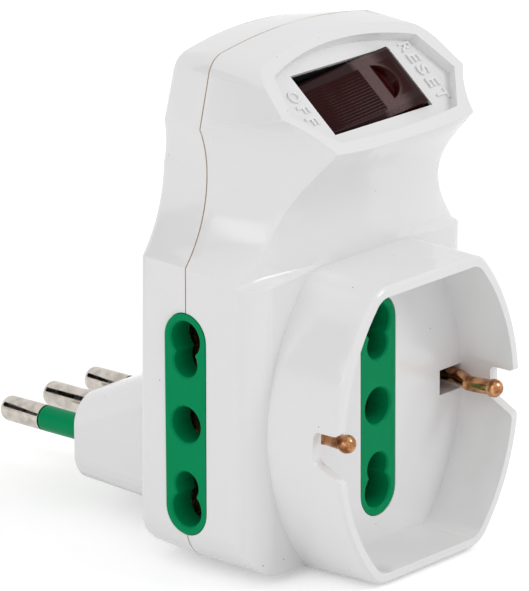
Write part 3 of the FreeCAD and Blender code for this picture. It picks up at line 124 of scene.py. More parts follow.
class Recipe:
    """A material in the making, with short calls for its common nodes."""

    def __init__(self, name: str) -> None:
        """Start a material with its shader and its Object coordinates.

        Args:
            name: The material's name.
        """
        self.material = bpy.data.materials.new(name)
        self.material.use_nodes = True
        self.tree = self.material.node_tree
        self.shader = self.tree.nodes["Principled BSDF"]
        self.place = add_node(self.tree, "ShaderNodeTexCoord").outputs["Object"]

    def set(self, name: str, value: object) -> None:
        """Give a shader input a value or a link.

        Args:
            name: The input's name.
            value: A value or an output socket.
        """
        if isinstance(value, Socket):
            self.tree.links.new(value, self.shader.inputs[name])
        else:
            self.shader.inputs[name].default_value = value

    def noise(self, size: float, detail: float = 2.0, place: Socket | None = None) -> Socket:
        """Add noise and return its value.

        Args:
            size: The size of its blotches, in the unit of its coordinates.
            detail: How many finer layers it has.
            place: Its coordinates, or the Object coordinates.

        Returns:
            A value about 0.5.
        """
        inputs = {"Vector": place or self.place, "Scale": 1 / size, "Detail": detail}
        return add_node(self.tree, "ShaderNodeTexNoise", inputs=inputs).outputs["Fac"]

    def stretched(self, scale: tuple[float, float, float]) -> Socket:
        """Return the Object coordinates scaled along each axis."""
        inputs = {"Vector": self.place, "Scale": scale}
        return add_node(self.tree, "ShaderNodeMapping", inputs=inputs).outputs["Vector"]

    def axes(self, place: Socket) -> list[Socket]:
        """Return the three coordinates of a position."""
        return list(add_node(self.tree, "ShaderNodeSeparateXYZ", inputs={"Vector": place}).outputs)

    def calc(self, operation: str, *values: object) -> Socket:
        """Return the result of a Math node."""
        inputs = dict(enumerate(values))
        return add_node(self.tree, "ShaderNodeMath", {"operation": operation}, inputs).outputs[0]

    def ramp(self, value: Socket, start: float, end: float) -> Socket:
        """Return 0 at start and 1 at end, smooth between them."""
        inputs = {"Value": value, "From Min": min(start, end), "From Max": max(start, end)}
        node = add_node(self.tree, "ShaderNodeMapRange", {"interpolation_type": "SMOOTHSTEP"}, inputs)
        result = node.outputs["Result"]
        return result if start < end else self.calc("SUBTRACT", 1.0, result)

    def mix(self, share: Socket, first: str | Socket, second: str | Socket) -> Socket:
        """Return a colour between two others.

        Args:
            share: 0 gives the first colour and 1 the second.
            first: A hex code or a colour socket.
            second: A hex code or a colour socket.

        Returns:
            The mixed colour.
        """
        node = add_node(self.tree, "ShaderNodeMix", {"data_type": "RGBA"}, {0: share})
        for number, colour in ((6, first), (7, second)):
            if isinstance(colour, Socket):
                self.tree.links.new(colour, node.inputs[number])
            else:
                node.inputs[number].default_value = linear(colour)
        return node.outputs[2]

    def bump(self, height: Socket, depth_mm: float, strength: float) -> None:
        """Raise the surface by a height field.

        Args:
            height: The field, from 0 to 1.
            depth_mm: The real height of 1, in millimetres.
            strength: How much of it shows.
        """
        inputs = {"Strength": strength, "Distance": depth_mm * MM, "Height": height}
        self.set("Normal", add_node(self.tree, "ShaderNodeBump", inputs=inputs).outputs["Normal"])


# Slanted frames of the switch


@dataclass(frozen=True)
class SlantedFrame:
    """A frame turned about X, then about its own Y: X across, Y up the slope, Z out."""

    origin_mm: tuple[float, float, float]
    slope_deg: float
    tilt_deg: float = 0.0

    def turn(self) -> Euler:
        """Return the frame's turn."""
        slope = Matrix.Rotation(math.radians(self.slope_deg), 3, "X")
        tilt = Matrix.Rotation(math.radians(self.tilt_deg), 3, "Y")
        return (slope @ tilt).to_euler("XYZ")

    def origin(self) -> Vector:
        """Return the frame's origin in metres."""
        return Vector(self.origin_mm) * MM

    def matrix(self) -> Matrix:
        """Return the frame as a matrix."""
        return Matrix.Translation(self.origin()) @ self.turn().to_matrix().to_4x4()


SLOPE_DEG = 40.32
BEZEL = SlantedFrame((0.0, -44.65, 59.4), SLOPE_DEG)
ROCKER = SlantedFrame((0.0, -42.062, 56.350), SLOPE_DEG, tilt_deg=-11.0)


# Finishes


@dataclass(frozen=True)
class CasingPlastic:
    """White ABS, injection moulded in a polished tool.

    The eye gets an even white with faint clouds of gloss, highlights that a skin
    like orange peel breaks up, a few dark specks of burnt resin, and dust in the
    joint between the two shells.
    """

    name: str
    colour: str = "ECECEC"
    cloud: str = "E9E8E9"
    cloud_mm: float = 12.0
    speck: str = "57514E"
    speck_grid_mm: float = 3.5
    speck_mm: float = 0.12
    dust: str = "E6D6C4"
    joint_mm: float = -32.0
    joint_half_mm: float = 0.14
    cover: float = 0.8
    roughness: float = 0.11
    roughness_cloud: float = 0.08
    peel_mm: float = 0.55
    peel_depth_mm: float = 0.02

    def specks(self, recipe: Recipe) -> Socket:
        """Return how much of a dark speck covers each place."""
        inputs = {"Vector": recipe.place, "Scale": 1 / (self.speck_grid_mm * MM)}
        cells = add_node(recipe.tree, "ShaderNodeTexVoronoi", inputs=inputs)
        reach = self.speck_mm / self.speck_grid_mm
        return recipe.calc("MULTIPLY", recipe.ramp(cells.outputs["Distance"], reach, reach * 0.6), self.cover)

    def joint(self, recipe: Recipe) -> Socket:
        """Return how much of the dust in the casing's joint covers each place."""
        depth = recipe.calc("MULTIPLY", recipe.axes(recipe.place)[1], 1 / MM)
        away = recipe.calc("ABSOLUTE", recipe.calc("SUBTRACT", depth, self.joint_mm))
        near = recipe.ramp(away, self.joint_half_mm, self.joint_half_mm * 0.8)
        return recipe.calc("MULTIPLY", near, self.cover)

    def make(self) -> bpy.types.Material:
        """Build the material and return it."""
        recipe = Recipe(self.name)
        cloud = recipe.noise(self.cloud_mm * MM, 3.0)
        plain = recipe.mix(cloud, self.colour, self.cloud)
        specked = recipe.mix(self.specks(recipe), plain, self.speck)
        recipe.set("Base Color", recipe.mix(self.joint(recipe), specked, self.dust))
        recipe.set("Roughness", recipe.calc("MULTIPLY_ADD", cloud, self.roughness_cloud, self.roughness))
        recipe.bump(recipe.noise(self.peel_mm * MM), self.peel_depth_mm, 0.2)
        recipe.set("IOR", 1.53)
        return recipe.material


@dataclass(frozen=True)
class MouldedPlastic:
    """Coloured nylon or acetal, injection moulded or turned.

    The eye gets a deep even colour with slight flow clouds and a fine satin grain.
    """

    name: str
    colour: str
    cloud: str
    roughness: float = 0.3
    gloss: float = 0.2
    cloud_mm: float = 5.0
    grain_mm: float = 0.3
    grain_depth_mm: float = 0.02

    def make(self) -> bpy.types.Material:
        """Build the material and return it."""
        recipe = Recipe(self.name)
        cloud = recipe.noise(self.cloud_mm * MM, 3.0)
        recipe.set("Base Color", recipe.mix(cloud, self.colour, self.cloud))
        recipe.set("Roughness", recipe.calc("MULTIPLY_ADD", cloud, 0.1, self.roughness))
        recipe.set("Specular IOR Level", self.gloss)
        recipe.bump(recipe.noise(self.grain_mm * MM), self.grain_depth_mm, 0.3)
        return recipe.material


@dataclass(frozen=True)
class RockerLens:
    """Dark red polycarbonate, moulded with a ribbed window and stippled borders.

    The eye gets a nearly black red window with fine ribs along it, whose grooves
    are painted darker as painted shade, a polished finger scoop and end, and
    stippled borders: painted grey beside the scoop as a painted sheen, and painted
    darker elsewhere as painted shade. Lengths are in millimetres in the rocker's own
    frame. Each pair is a soft edge: where it begins, and where it is complete.
    """

    name: str
    window: str = "300E0E"
    # painted shade: the darker colour of the grooves between the ribs
    painted_groove_shade: str = "270A0A"
    scoop: str = "320C0C"
    # painted sheen and painted shade: a lit and a shaded copy of the stippled border's colour
    painted_sheen_stipple: str = "655050"
    painted_shade_stipple: str = "2A1717"
    rib_pitch: float = 0.5
    rib_height: float = 0.05
    grain: float = 0.16
    window_middle: float = -0.42
    window_side: tuple[float, float] = (3.9, 3.65)
    window_end: tuple[float, float] = (2.85, 2.6)
    scoop_middle: float = 4.2
    scoop_rim: tuple[float, float] = (3.33, 3.17)
    scoop_chord: tuple[float, float] = (4.72, 4.88)
    end_rim: tuple[float, float] = (3.55, 3.75)
    end_front: tuple[float, float] = (5.6, 6.2)
    end_back: tuple[float, float] = (8.7, 8.5)
    end_side: tuple[float, float] = (3.2, 3.0)
    end_share: float = 0.6
    top: tuple[float, float] = (2.9, 3.15)
    # where the painted sheen on the stippled border rises and falls along the rocker
    painted_sheen_rise: tuple[float, float] = (1.6, 3.0)
    painted_sheen_fall: tuple[float, float] = (8.0, 5.4)

    def local(self, recipe: Recipe) -> Socket:
        """Return positions in the rocker's own frame, in millimetres."""
        inputs = {
            "Vector": recipe.place,
            "Location": ROCKER.origin(),
            "Rotation": ROCKER.turn(),
            "Scale": (MM, MM, MM),
        }
        node = add_node(recipe.tree, "ShaderNodeMapping", {"vector_type": "TEXTURE"}, inputs)
        return node.outputs["Vector"]

    def lens(self, recipe: Recipe, along: Socket, up: Socket) -> Socket:
        """Return 1 on the ribbed window.

        Args:
            recipe: The material in the making.
            along: Lengths along the rocker.
            up: Lengths up the slope.

        Returns:
            The share of the window.
        """
        from_middle = recipe.calc("ABSOLUTE", recipe.calc("SUBTRACT", up, self.window_middle))
        rows = recipe.ramp(from_middle, *self.window_side)
        return recipe.calc("MULTIPLY", rows, recipe.ramp(along, *self.window_end))

    def polished(self, recipe: Recipe, along: Socket, up: Socket) -> Socket:
        """Return 1 in the scoop, and less on the end behind its round edge.

        Args:
            recipe: The material in the making.
            along: Lengths along the rocker.
            up: Lengths up the slope.

        Returns:
            The share of the polished places.
        """
        aside = recipe.calc("SUBTRACT", along, self.scoop_middle)
        square = recipe.calc("MULTIPLY_ADD", aside, aside, recipe.calc("MULTIPLY", up, up))
        ring = recipe.calc("SQRT", square)
        inside = recipe.ramp(ring, *self.scoop_rim)
        scoop = recipe.calc("MULTIPLY", inside, recipe.ramp(along, *self.scoop_chord))
        end = recipe.ramp(ring, *self.end_rim)
        for share in (
            recipe.ramp(along, *self.end_front),
            recipe.ramp(along, *self.end_back),
            recipe.ramp(recipe.calc("ABSOLUTE", up), *self.end_side),
            self.end_share,
        ):
            end = recipe.calc("MULTIPLY", end, share)
        return recipe.calc("MAXIMUM", scoop, end)

    def make(self) -> bpy.types.Material:
        """Build the material and return it."""
        recipe = Recipe(self.name)
        local = self.local(recipe)
        along, up, out = recipe.axes(local)
        window = self.lens(recipe, along, up)
        clear = recipe.calc("MAXIMUM", window, self.polished(recipe, along, up))
        on_top = recipe.ramp(out, *self.top)
        stippled = recipe.calc("MULTIPLY", recipe.calc("SUBTRACT", 1.0, clear), on_top)

        wave = recipe.calc("SINE", recipe.calc("MULTIPLY", up, 2 * math.pi / self.rib_pitch))
        crest = recipe.calc("MULTIPLY_ADD", wave, 0.5, 0.5)
        grain = recipe.noise(self.grain, 2.0, local)
        speckle = recipe.calc("MULTIPLY", recipe.ramp(grain, 0.35, 0.65), 0.35)
        # The stippled border is painted lit in a band beside the scoop and painted shaded elsewhere: painted
        # sheen and painted shade.
        rise = recipe.ramp(along, *self.painted_sheen_rise)
        painted_sheen_band = recipe.calc("MULTIPLY", rise, recipe.ramp(along, *self.painted_sheen_fall))
        painted_sheen_and_shade = recipe.mix(painted_sheen_band, self.painted_shade_stipple, self.painted_sheen_stipple)
        border = recipe.mix(speckle, painted_sheen_and_shade, self.window)
        # The grooves between the ribs take the darker colour, as painted shade.
        smooth = recipe.mix(window, self.scoop, recipe.mix(crest, self.painted_groove_shade, self.window))
        recipe.set("Base Color", recipe.mix(stippled, smooth, border))
        recipe.set("Roughness", recipe.calc("MULTIPLY_ADD", stippled, 0.4, 0.1))
        recipe.set("Specular IOR Level", recipe.calc("MULTIPLY_ADD", stippled, 0.08, 0.05))
        ribs = recipe.calc("MULTIPLY", crest, window)
        grains = recipe.calc("MULTIPLY", grain, stippled)
        recipe.bump(recipe.calc("MULTIPLY_ADD", grains, 0.8, ribs), self.rib_height, 0.6)
        return recipe.material


@dataclass(frozen=True)
class WorkedMetal:
    """Metal with lines along its stock, from drawing, rolling, turning or plating.

    The eye gets the bare metal's colour, darker tarnish in soft patches, and fine
    lines that break each reflection. The lines are drawn coarser than the real
    ones, so that they show.
    """

    name: str
    colour: str
    tarnish: str
    roughness: float = 0.22
    wear: float = 0.12
    line_mm: float = 0.12
    line_depth_mm: float = 0.01
    patch_mm: float = 1.6
    stock: tuple[float, float, float] = (1.0, 0.06, 1.0)

    def make(self) -> bpy.types.Material:
        """Build the material and return it."""
        recipe = Recipe(self.name)
        patch = recipe.ramp(recipe.noise(self.patch_mm * MM, 4.0), 0.35, 0.7)
        lines = recipe.noise(self.line_mm * MM, 2.0, recipe.stretched(self.stock))
        recipe.set("Base Color", recipe.mix(patch, self.colour, self.tarnish))
        recipe.set("Metallic", 1.0)
        recipe.set("Roughness", recipe.calc("MULTIPLY_ADD", patch, self.wear, self.roughness))
        recipe.bump(lines, self.line_depth_mm, 0.35)
        return recipe.material


@dataclass(frozen=True)
class LampGlass:
    """Soda glass of a small neon lamp, drawn to a tip.

    The eye gets clear glass with a warm tint and slight ripples from the drawing.
    """

    name: str
    colour: str = "F6DFC8"
    thin: str = "FFF4E8"
    ripple_mm: float = 1.2
    ripple_depth_mm: float = 0.02

    def make(self) -> bpy.types.Material:
        """Build the material and return it."""
        recipe = Recipe(self.name)
        ripple = recipe.noise(self.ripple_mm * MM, 1.0)
        recipe.set("Base Color", recipe.mix(ripple, self.colour, self.thin))
        recipe.set("Roughness", 0.04)
        recipe.set("Transmission Weight", 0.92)
        recipe.bump(ripple, self.ripple_depth_mm, 0.2)
        return recipe.material


class Finish(Enum):
    """The finishes of the adapter, by what each piece really is."""

    WHITE_ABS = CasingPlastic("white_abs_casing")
    GREEN_NYLON = MouldedPlastic("green_nylon_moulding", "008F5A", "008A55", roughness=0.28, gloss=0.05)
    BLACK_NYLON = MouldedPlastic("black_nylon_moulding", "181818", "131313", roughness=0.42, gloss=0.25)
    IVORY_ACETAL = MouldedPlastic("ivory_acetal_turning", "E6E2D2", "DFDAC8", gloss=0.5)
    RED_LENS = RockerLens("dark_red_polycarbonate")
    NICKEL_PLATE = WorkedMetal(
        "nickel_plated_brass", "CFC8C0", "B5ADA4", roughness=0.1, wear=0.1, line_mm=0.1, line_depth_mm=0.008
    )
    BRONZE_CLIP = WorkedMetal(
        "tumbled_phosphor_bronze",
        "DDA476",
        "7C4B2C",
        roughness=0.14,
        wear=0.14,
        line_mm=0.3,
        line_depth_mm=0.03,
    )
    BRASS_SHEET = WorkedMetal("rolled_brass_sheet", "D0AE6C", "B8935A", roughness=0.24)
    ZINC_STEEL = WorkedMetal(
        "zinc_plated_steel", "BDBDBB", "A3A3A1", roughness=0.28, line_mm=0.14, line_depth_mm=0.012
    )
    LAMP_GLASS = LampGlass("neon_lamp_glass")


# Workshop: what every sub-assembly needs


@dataclass
class Workshop:
    """Holds the frame's nodes and makes each finish once."""

    nodes: dict[str, bpy.types.Object]
    made: dict[Finish, bpy.types.Material] = field(default_factory=dict)

    def finish(self, choice: Finish) -> bpy.types.Material:
        """Return the one material of a finish, made on first use."""
        if choice not in self.made:
            self.made[choice] = choice.value.make()
        return self.made[choice]

    def dress(self, name: str, choice: Finish, edge_mm: float = 0.0, angle_deg: float = 38.0) -> None:
        """Give a CAD node its finish, and ease its edges where they are moulded round.

        Args:
            name: The node's name.
            choice: Its finish.
            edge_mm: The width of its eased edges, or 0 for sharp ones.
            angle_deg: The least angle between two faces that is eased.
        """
        node = self.nodes[name]
        node.data.materials.clear()
        node.data.materials.append(self.finish(choice))
        if edge_mm > 0:
            weld = node.modifiers.new("weld", "WELD")
            weld.merge_threshold = WELD_MM * MM
            ease = node.modifiers.new("eased_edges", "BEVEL")
            ease.width = edge_mm * MM
            ease.segments = EDGE_SEGMENTS
            ease.limit_method = "ANGLE"
            ease.angle_limit = math.radians(angle_deg)
            ease.harden_normals = True
        LOG.info("dressed %s in %s", name, choice.name.lower())

    def settle(self, piece: bpy.types.Object, name: str, frame: SlantedFrame, choice: Finish) -> None:
        """Name a modelled piece, finish it, and leave its place in its mesh.

        Args:
            piece: The piece, modelled at the origin of its frame in metres.
            name: Its name.
            frame: The frame that it belongs in.
            choice: Its finish.
        """
        piece.name = name
        piece.data.materials.clear()
        piece.data.materials.append(self.finish(choice))
        bpy.ops.object.select_all(action="DESELECT")
        piece.select_set(True)
        bpy.context.view_layer.objects.active = piece
        piece.matrix_world = frame.matrix()
        bpy.ops.object.transform_apply(location=True, rotation=True, scale=True)
        bpy.ops.object.shade_smooth_by_angle(angle=SMOOTH_ANGLE)
        LOG.info("modelled %s in %s", name, choice.name.lower())


# Sub-assemblies


@dataclass
class Casing:
    """The two white shells, with their moulded edges eased."""

    shop: Workshop
    edge_mm: float = 0.35

    def build(self) -> None:
        """Dress both shells."""
        for name in ("front_shell", "rear_shell"):
            self.shop.dress(name, Finish.WHITE_ABS, self.edge_mm)


@dataclass
class Outlets:
    """The three green socket inserts and the bent clips of the front outlet."""

    shop: Workshop
    face_edge_mm: float = 0.18

    def build(self) -> None:
        """Dress the inserts and the clips."""
        for side in ("front", "left", "right"):
            self.shop.dress(f"{side}_socket_insert", Finish.GREEN_NYLON, self.face_edge_mm)
        for side in ("left", "right"):
            self.shop.dress(f"{side}_earth_clip", Finish.BRONZE_CLIP)


@dataclass
class Plug:
    """The three plated pins and the green sleeves of the live ones."""

    shop: Workshop
    pin_edge_mm: float = 0.2
    sleeve_edge_mm: float = 0.15

    def build(self) -> None:
        """Dress the pins and sleeves."""
        for name in ("line_pin", "earth_pin", "neutral_pin"):
            self.shop.dress(name, Finish.NICKEL_PLATE, self.pin_edge_mm)
        for name in ("line_pin_sleeve", "neutral_pin_sleeve"):
            self.shop.dress(name, Finish.GREEN_NYLON, self.sleeve_edge_mm)


@dataclass
class Conductors:
    """The brass strips behind the outlets and up to the switch."""

    shop: Workshop

    def build(self) -> None:
        """Dress the strips."""
        for name in ("line_busbar", "neutral_busbar", "earth_busbar", "line_feed_strip", "load_strip"):
            self.shop.dress(name, Finish.BRASS_SHEET)


@dataclass
class Fasteners:
    """The three casing screws."""

    shop: Workshop
    edge_mm: float = 0.12

    def build(self) -> None:
        """Dress the screws."""
        for name in ("left_screw", "right_screw", "upper_screw"):
            self.shop.dress(name, Finish.ZINC_STEEL, self.edge_mm)


@dataclass
class OverloadSwitch:
    """The rocker switch: lens, housing, contacts, lamp, and a coiled plunger spring.

    A black liner in the window gap round the rocker stands in for the shade there,
    as painted shade. Lengths are in millimetres: the liner's in the bezel's frame,
    the coil's in the rocker's own.
    """

    shop: Workshop
    rocker_edge_mm: float = 0.16
    rocker_angle_deg: float = 30.0
    housing_edge_mm: float = 0.15
    liner_half: tuple[float, float] = (10.93, 5.58)
    liner_wall: float = 0.14
    liner_low: float = -1.95
    liner_high: float = -0.5
    coil_radius: float = 1.08
    wire_radius: float = 0.2
    wire_sides: int = 12
    coil_low: float = -3.33
    coil_high: float = -1.97
    coil_turns: int = 3
    steps_a_turn: int = 24
    plunger_travel: float = 0.6

    def build(self) -> None:
        """Dress the switch's nodes, model its spring, and model the black liner that paints shade in the
        window gap.
        """
        self.shop.dress("rocker", Finish.RED_LENS, self.rocker_edge_mm, self.rocker_angle_deg)
        self.shop.dress("switch_housing", Finish.BLACK_NYLON, self.housing_edge_mm)
        self.shop.dress("plunger", Finish.IVORY_ACETAL)
        self.shop.dress("indicator_lamp", Finish.LAMP_GLASS)
        for name in ("rocker_axle", "plunger_spring", "bimetal_strip"):
            self.shop.dress(name, Finish.ZINC_STEEL)
        for name in ("contact_blade", "pivot_terminal", "fixed_contact_terminal"):
            self.shop.dress(name, Finish.BRASS_SHEET)
        self.coil()
        self.shade_liner()

    def shade_liner(self) -> None:
        """Model a thin black liner round the rocker in the window, a dark sheet put in the gap as painted
        shade.
        """
        bpy.ops.object.select_all(action="DESELECT")
        bpy.ops.mesh.primitive_plane_add(size=2 * MM)
        frame = bpy.context.object
        fall = (0, 0, (self.liner_low - self.liner_high) * MM)
        bpy.ops.object.mode_set(mode="EDIT")
        bpy.ops.mesh.select_all(action="SELECT")
        bpy.ops.transform.resize(value=(*self.liner_half, 1.0), center_override=(0, 0, 0))
        bpy.ops.transform.translate(value=(0, 0, self.liner_high * MM))
        bpy.ops.mesh.inset(thickness=self.liner_wall * MM)
        bpy.ops.mesh.delete(type="FACE")
        bpy.ops.mesh.select_all(action="SELECT")
        bpy.ops.mesh.extrude_region_move(TRANSFORM_OT_translate={"value": fall})
        bpy.ops.mesh.select_all(action="SELECT")
        bpy.ops.mesh.normals_make_consistent(inside=False)
        bpy.ops.object.mode_set(mode="OBJECT")
        # The liner's black stands in for the shade in the gap: painted shade.
        self.shop.settle(frame, "window_shade_liner", BEZEL, Finish.BLACK_NYLON)
        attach(frame, "casing")

    def coil(self) -> None:
        """Model the spring as one wound wire in place of the CAD rings."""
        bpy.ops.object.select_all(action="DESELECT")
        bpy.ops.mesh.primitive_circle_add(
            vertices=self.wire_sides, radius=self.wire_radius * MM, fill_type="NGON"
        )
        wire = bpy.context.object
        bpy.ops.object.mode_set(mode="EDIT")
        bpy.ops.mesh.select_all(action="SELECT")
        bpy.ops.transform.rotate(value=math.radians(90), orient_axis="X", center_override=(0, 0, 0))
        bpy.ops.transform.translate(value=(self.coil_radius * MM, 0, self.coil_low * MM))
        bpy.ops.object.mode_set(mode="OBJECT")
        wound = wire.modifiers.new("wound", "SCREW")
        wound.axis = "Z"
        wound.angle = math.tau * self.coil_turns
        wound.screw_offset = (self.coil_high - self.coil_low) * MM
        wound.steps = self.steps_a_turn * self.coil_turns
        wound.render_steps = wound.steps
        wound.use_merge_vertices = True
        wound.merge_threshold = WELD_MM * MM / 2
        bpy.ops.object.modifier_apply(modifier=wound.name)
        bpy.ops.object.mode_set(mode="EDIT")
        bpy.ops.mesh.select_all(action="SELECT")
        bpy.ops.mesh.normals_make_consistent(inside=False)
        bpy.ops.object.mode_set(mode="OBJECT")
        self.shop.settle(wire, "wound_plunger_spring", ROCKER, Finish.ZINC_STEEL)
        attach(wire, "rocker")
        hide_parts("plunger_spring")
        self.shorten(wire)

    def shorten(self, wire: bpy.types.Object) -> None:
        """Give the coil its own mesh.

        Args:
            wire: The wound spring.
        """
        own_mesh(wire)


@dataclass(frozen=True)
class Letter:
    """One raised letter: its sign, where it starts down the slope, and its width."""

    sign: str
    start: float
    width: float


@dataclass(frozen=True)
class Word:
    """A word on the bezel plate: its letters, their foot line and their height."""

    name: str
    letters: tuple[Letter, ...]
    foot: float
    height: float


OFF = Word(
    "off_word",
    (Letter("O", 3.15, 2.1), Letter("F", 0.4, 1.4), Letter("F", -1.7, 1.5)),
    foot=-14.4,
    height=2.2,
)
RESET = Word(
    "reset_word",
    (
        Letter("R", 5.5, 1.65),
        Letter("E", 3.4, 1.65),
        Letter("S", 1.2, 1.85),
        Letter("E", -1.25, 1.75),
        Letter("T", -3.6, 1.8),
    ),
    foot=12.95,
    height=2.35,
)


@dataclass
class Lettering:
    """The raised words beside the rocker, which read down the slope.

    Lengths are in millimetres in the bezel's frame. The font's own measures, from
    curve_steps on, are in shares of its letter size.
    """

    shop: Workshop
    words: tuple[Word, ...] = (OFF, RESET)
    raised: float = 0.3
    sunk: float = 0.1
    curve_steps: int = 3
    slab: float = 0.05
    swell: float = 0.004
    rounding: float = 0.016

    def build(self) -> None:
        """Model both words on the plate."""
        for word in self.words:
            pieces = [self.letter(letter, word) for letter in word.letters]
            bpy.ops.object.select_all(action="DESELECT")
            for piece in pieces:
                piece.select_set(True)
            bpy.context.view_layer.objects.active = pieces[0]
            bpy.ops.object.join()
            self.shop.settle(pieces[0], word.name, BEZEL, Finish.WHITE_ABS)
            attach(pieces[0], "casing")

    def letter(self, letter: Letter, word: Word) -> bpy.types.Object:
        """Model one letter in the bezel's frame.

        Args:
            letter: The letter and its place.
            word: The word that it belongs to.

        Returns:
            The letter's object.
        """
        bpy.ops.object.select_all(action="DESELECT")
        bpy.ops.object.text_add(location=(0, 0, 0))
        data = bpy.context.object.data
        data.body = letter.sign
        data.resolution_u = self.curve_steps
        data.extrude = self.slab
        data.offset = self.swell
        data.bevel_depth = self.rounding
        data.bevel_resolution = 1
        bpy.ops.object.convert(target="MESH")
        piece = bpy.context.object
        corners = [vertex.co for vertex in piece.data.vertices]
        low = Vector([min(corner[axis] for corner in corners) for axis in range(3)])
        high = Vector([max(corner[axis] for corner in corners) for axis in range(3)])
        asked = (letter.width, word.height, self.raised + self.sunk)
        scale = [MM * length / extent for length, extent in zip(asked, high - low)]
        spot = Matrix.Translation(Vector((word.foot, letter.start, -self.sunk)) * MM)
        down_slope = Matrix.Rotation(-math.pi / 2, 4, "Z")
        piece.matrix_world = spot @ down_slope @ Matrix.Diagonal((*scale, 1.0)) @ Matrix.Translation(-low)
        bpy.ops.object.transform_apply(location=True, rotation=True, scale=True)
        return piece


# Studio


@dataclass(frozen=True)
class Softbox:
    """A square lamp: its direction from the object, its side and its power."""

    name: str
    azimuth_deg: float
    elevation_deg: float
    side: float
    watts: float


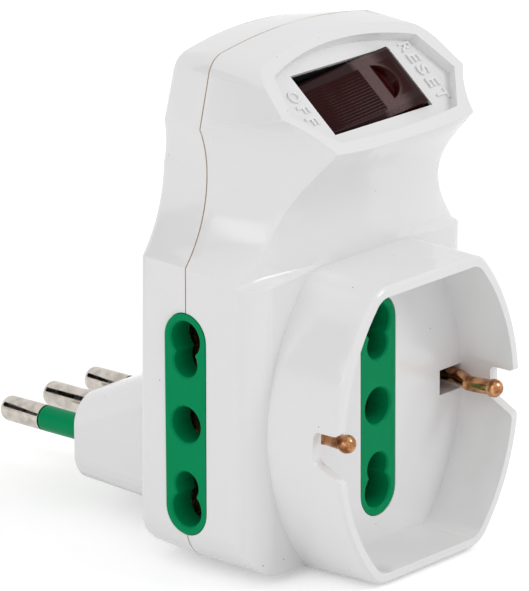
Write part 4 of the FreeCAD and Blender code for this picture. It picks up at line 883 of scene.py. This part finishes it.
@dataclass
class Studio:
    """A white sweep with soft lamps, a dark flag, and the camera of the photograph.

    Lengths are in metres. The left window is the lamp that mirrors in the hollow
    flank of the casing.
    """

    azimuth_deg: float = -48.923
    elevation_deg: float = 17.162
    roll_deg: float = -0.312
    distance: float = 0.804886
    target: tuple[float, float, float] = (-0.000004, -0.025741, 0.024559)
    lens_mm: float = 329.08
    floor_z: float = -0.0113
    floor_side: float = 6.0
    floor_glow: float = 0.35
    world_light: float = 0.69
    flag_azimuth_deg: float = -138.0
    flag_elevation_deg: float = 24.0
    flag_distance: float = 0.45
    flag_size: tuple[float, float] = (0.4, 0.2)
    lamp_distance: float = 1.2
    lamps: tuple[Softbox, ...] = (
        Softbox("left_lamp", -80.0, 20.0, side=0.9, watts=1.5),
        Softbox("left_window", -112.0, 22.0, side=0.36, watts=0.9),
        Softbox("front_lamp", 28.0, 40.0, side=0.4, watts=3.0),
    )

    @staticmethod
    def toward(azimuth_deg: float, elevation_deg: float) -> Vector:
        """Return the direction at an azimuth from the front and an elevation."""
        azimuth = math.radians(azimuth_deg)
        elevation = math.radians(elevation_deg)
        level = math.cos(elevation)
        return Vector((math.sin(azimuth) * level, -math.cos(azimuth) * level, math.sin(elevation)))

    def aimed(self, away: Vector, distance: float) -> Matrix:
        """Return the place of something that looks at the object.

        Args:
            away: Its direction from the object.
            distance: How far away it is, in metres.

        Returns:
            The matrix of a camera or lamp that faces the object.
        """
        facing = (-away).to_track_quat("-Z", "Y").to_matrix().to_4x4()
        return Matrix.Translation(Vector(self.target) + away * distance) @ facing

    def camera(self) -> None:
        """Make the camera."""
        data = bpy.data.cameras.new("camera")
        data.lens = self.lens_mm
        data.clip_start = 0.01
        eye = bpy.data.objects.new("camera", data)
        bpy.context.scene.collection.objects.link(eye)
        roll = Matrix.Rotation(math.radians(self.roll_deg), 4, "Z")
        away = self.toward(self.azimuth_deg, self.elevation_deg)
        eye.matrix_world = self.aimed(away, self.distance) @ roll
        bpy.context.scene.camera = eye

    def seen(self, tree: bpy.types.NodeTree) -> Socket:
        """Return 1 for camera, mirror and glass rays, and 0 for others."""
        path = add_node(tree, "ShaderNodeLightPath").outputs
        largest = {"operation": "MAXIMUM"}
        straight = {0: path["Is Camera Ray"], 1: path["Is Glossy Ray"]}
        pair = add_node(tree, "ShaderNodeMath", largest, straight)
        through = {0: pair.outputs[0], 1: path["Is Transmission Ray"]}
        return add_node(tree, "ShaderNodeMath", largest, through).outputs[0]

    def floor(self) -> None:
        """Make the floor, near white where it is seen, with the object's shadow."""
        bpy.ops.object.select_all(action="DESELECT")
        bpy.ops.mesh.primitive_plane_add(size=self.floor_side, location=(0, 0, self.floor_z))
        sheet = bpy.context.object
        sheet.name = "floor"
        recipe = Recipe("pale_floor")
        recipe.set("Base Color", recipe.mix(recipe.noise(0.4), "F6F6F6", "F2F2F2"))
        recipe.set("Roughness", 0.9)
        recipe.set("Specular IOR Level", 0.1)
        recipe.set("Emission Color", (1.0, 1.0, 1.0, 1.0))
        recipe.set("Emission Strength", recipe.calc("MULTIPLY", self.seen(recipe.tree), self.floor_glow))
        sheet.data.materials.append(recipe.material)

    def flag(self) -> None:
        """Make the dark card behind the plug that draws the band along its pins."""
        bpy.ops.object.select_all(action="DESELECT")
        bpy.ops.mesh.primitive_plane_add(size=1.0)
        card = bpy.context.object
        card.name = "dark_flag"
        away = self.toward(self.flag_azimuth_deg, self.flag_elevation_deg)
        size = Matrix.Diagonal((*self.flag_size, 1.0, 1.0))
        card.matrix_world = self.aimed(away, self.flag_distance) @ size
        card.visible_camera = False
        card.visible_diffuse = False
        card.visible_transmission = False
        card.visible_shadow = False
        recipe = Recipe("black_felt")
        recipe.set("Base Color", recipe.mix(recipe.noise(0.01), "0C0A09", "14110F"))
        recipe.set("Roughness", 1.0)
        recipe.set("Specular IOR Level", 0.0)
        card.data.materials.append(recipe.material)

    def light(self) -> None:
        """Place the lamps."""
        for lamp in self.lamps:
            data = bpy.data.lights.new(lamp.name, "AREA")
            data.size = lamp.side
            data.energy = lamp.watts
            thing = bpy.data.objects.new(lamp.name, data)
            bpy.context.scene.collection.objects.link(thing)
            away = self.toward(lamp.azimuth_deg, lamp.elevation_deg)
            thing.matrix_world = self.aimed(away, self.lamp_distance)

    def world(self) -> None:
        """Give the world its even light, and plain white where it is seen."""
        world = bpy.data.worlds.new("studio_world")
        world.use_nodes = True
        tree = world.node_tree
        back = tree.nodes["Background"]
        back.inputs["Color"].default_value = (1.0, 1.0, 1.0, 1.0)
        inputs = {"Value": self.seen(tree), "To Min": self.world_light, "To Max": 1.0}
        strength = add_node(tree, "ShaderNodeMapRange", inputs=inputs)
        tree.links.new(strength.outputs["Result"], back.inputs["Strength"])
        bpy.context.scene.world = world

    def build(self) -> None:
        """Set up the whole studio."""
        self.camera()
        self.floor()
        self.flag()
        self.light()
        self.world()
        bpy.context.scene.view_settings.view_transform = "Standard"


def main() -> None:
    """Build the adapter's looks round its frame."""
    logging.basicConfig(level=logging.INFO, format="%(name)s: %(message)s")
    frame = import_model()
    shop = Workshop(frame["nodes"])
    for group in (Casing, Outlets, Plug, Conductors, Fasteners, OverloadSwitch, Lettering):
        group(shop).build()
    Studio().build()


if __name__ == "__main__":
    main()
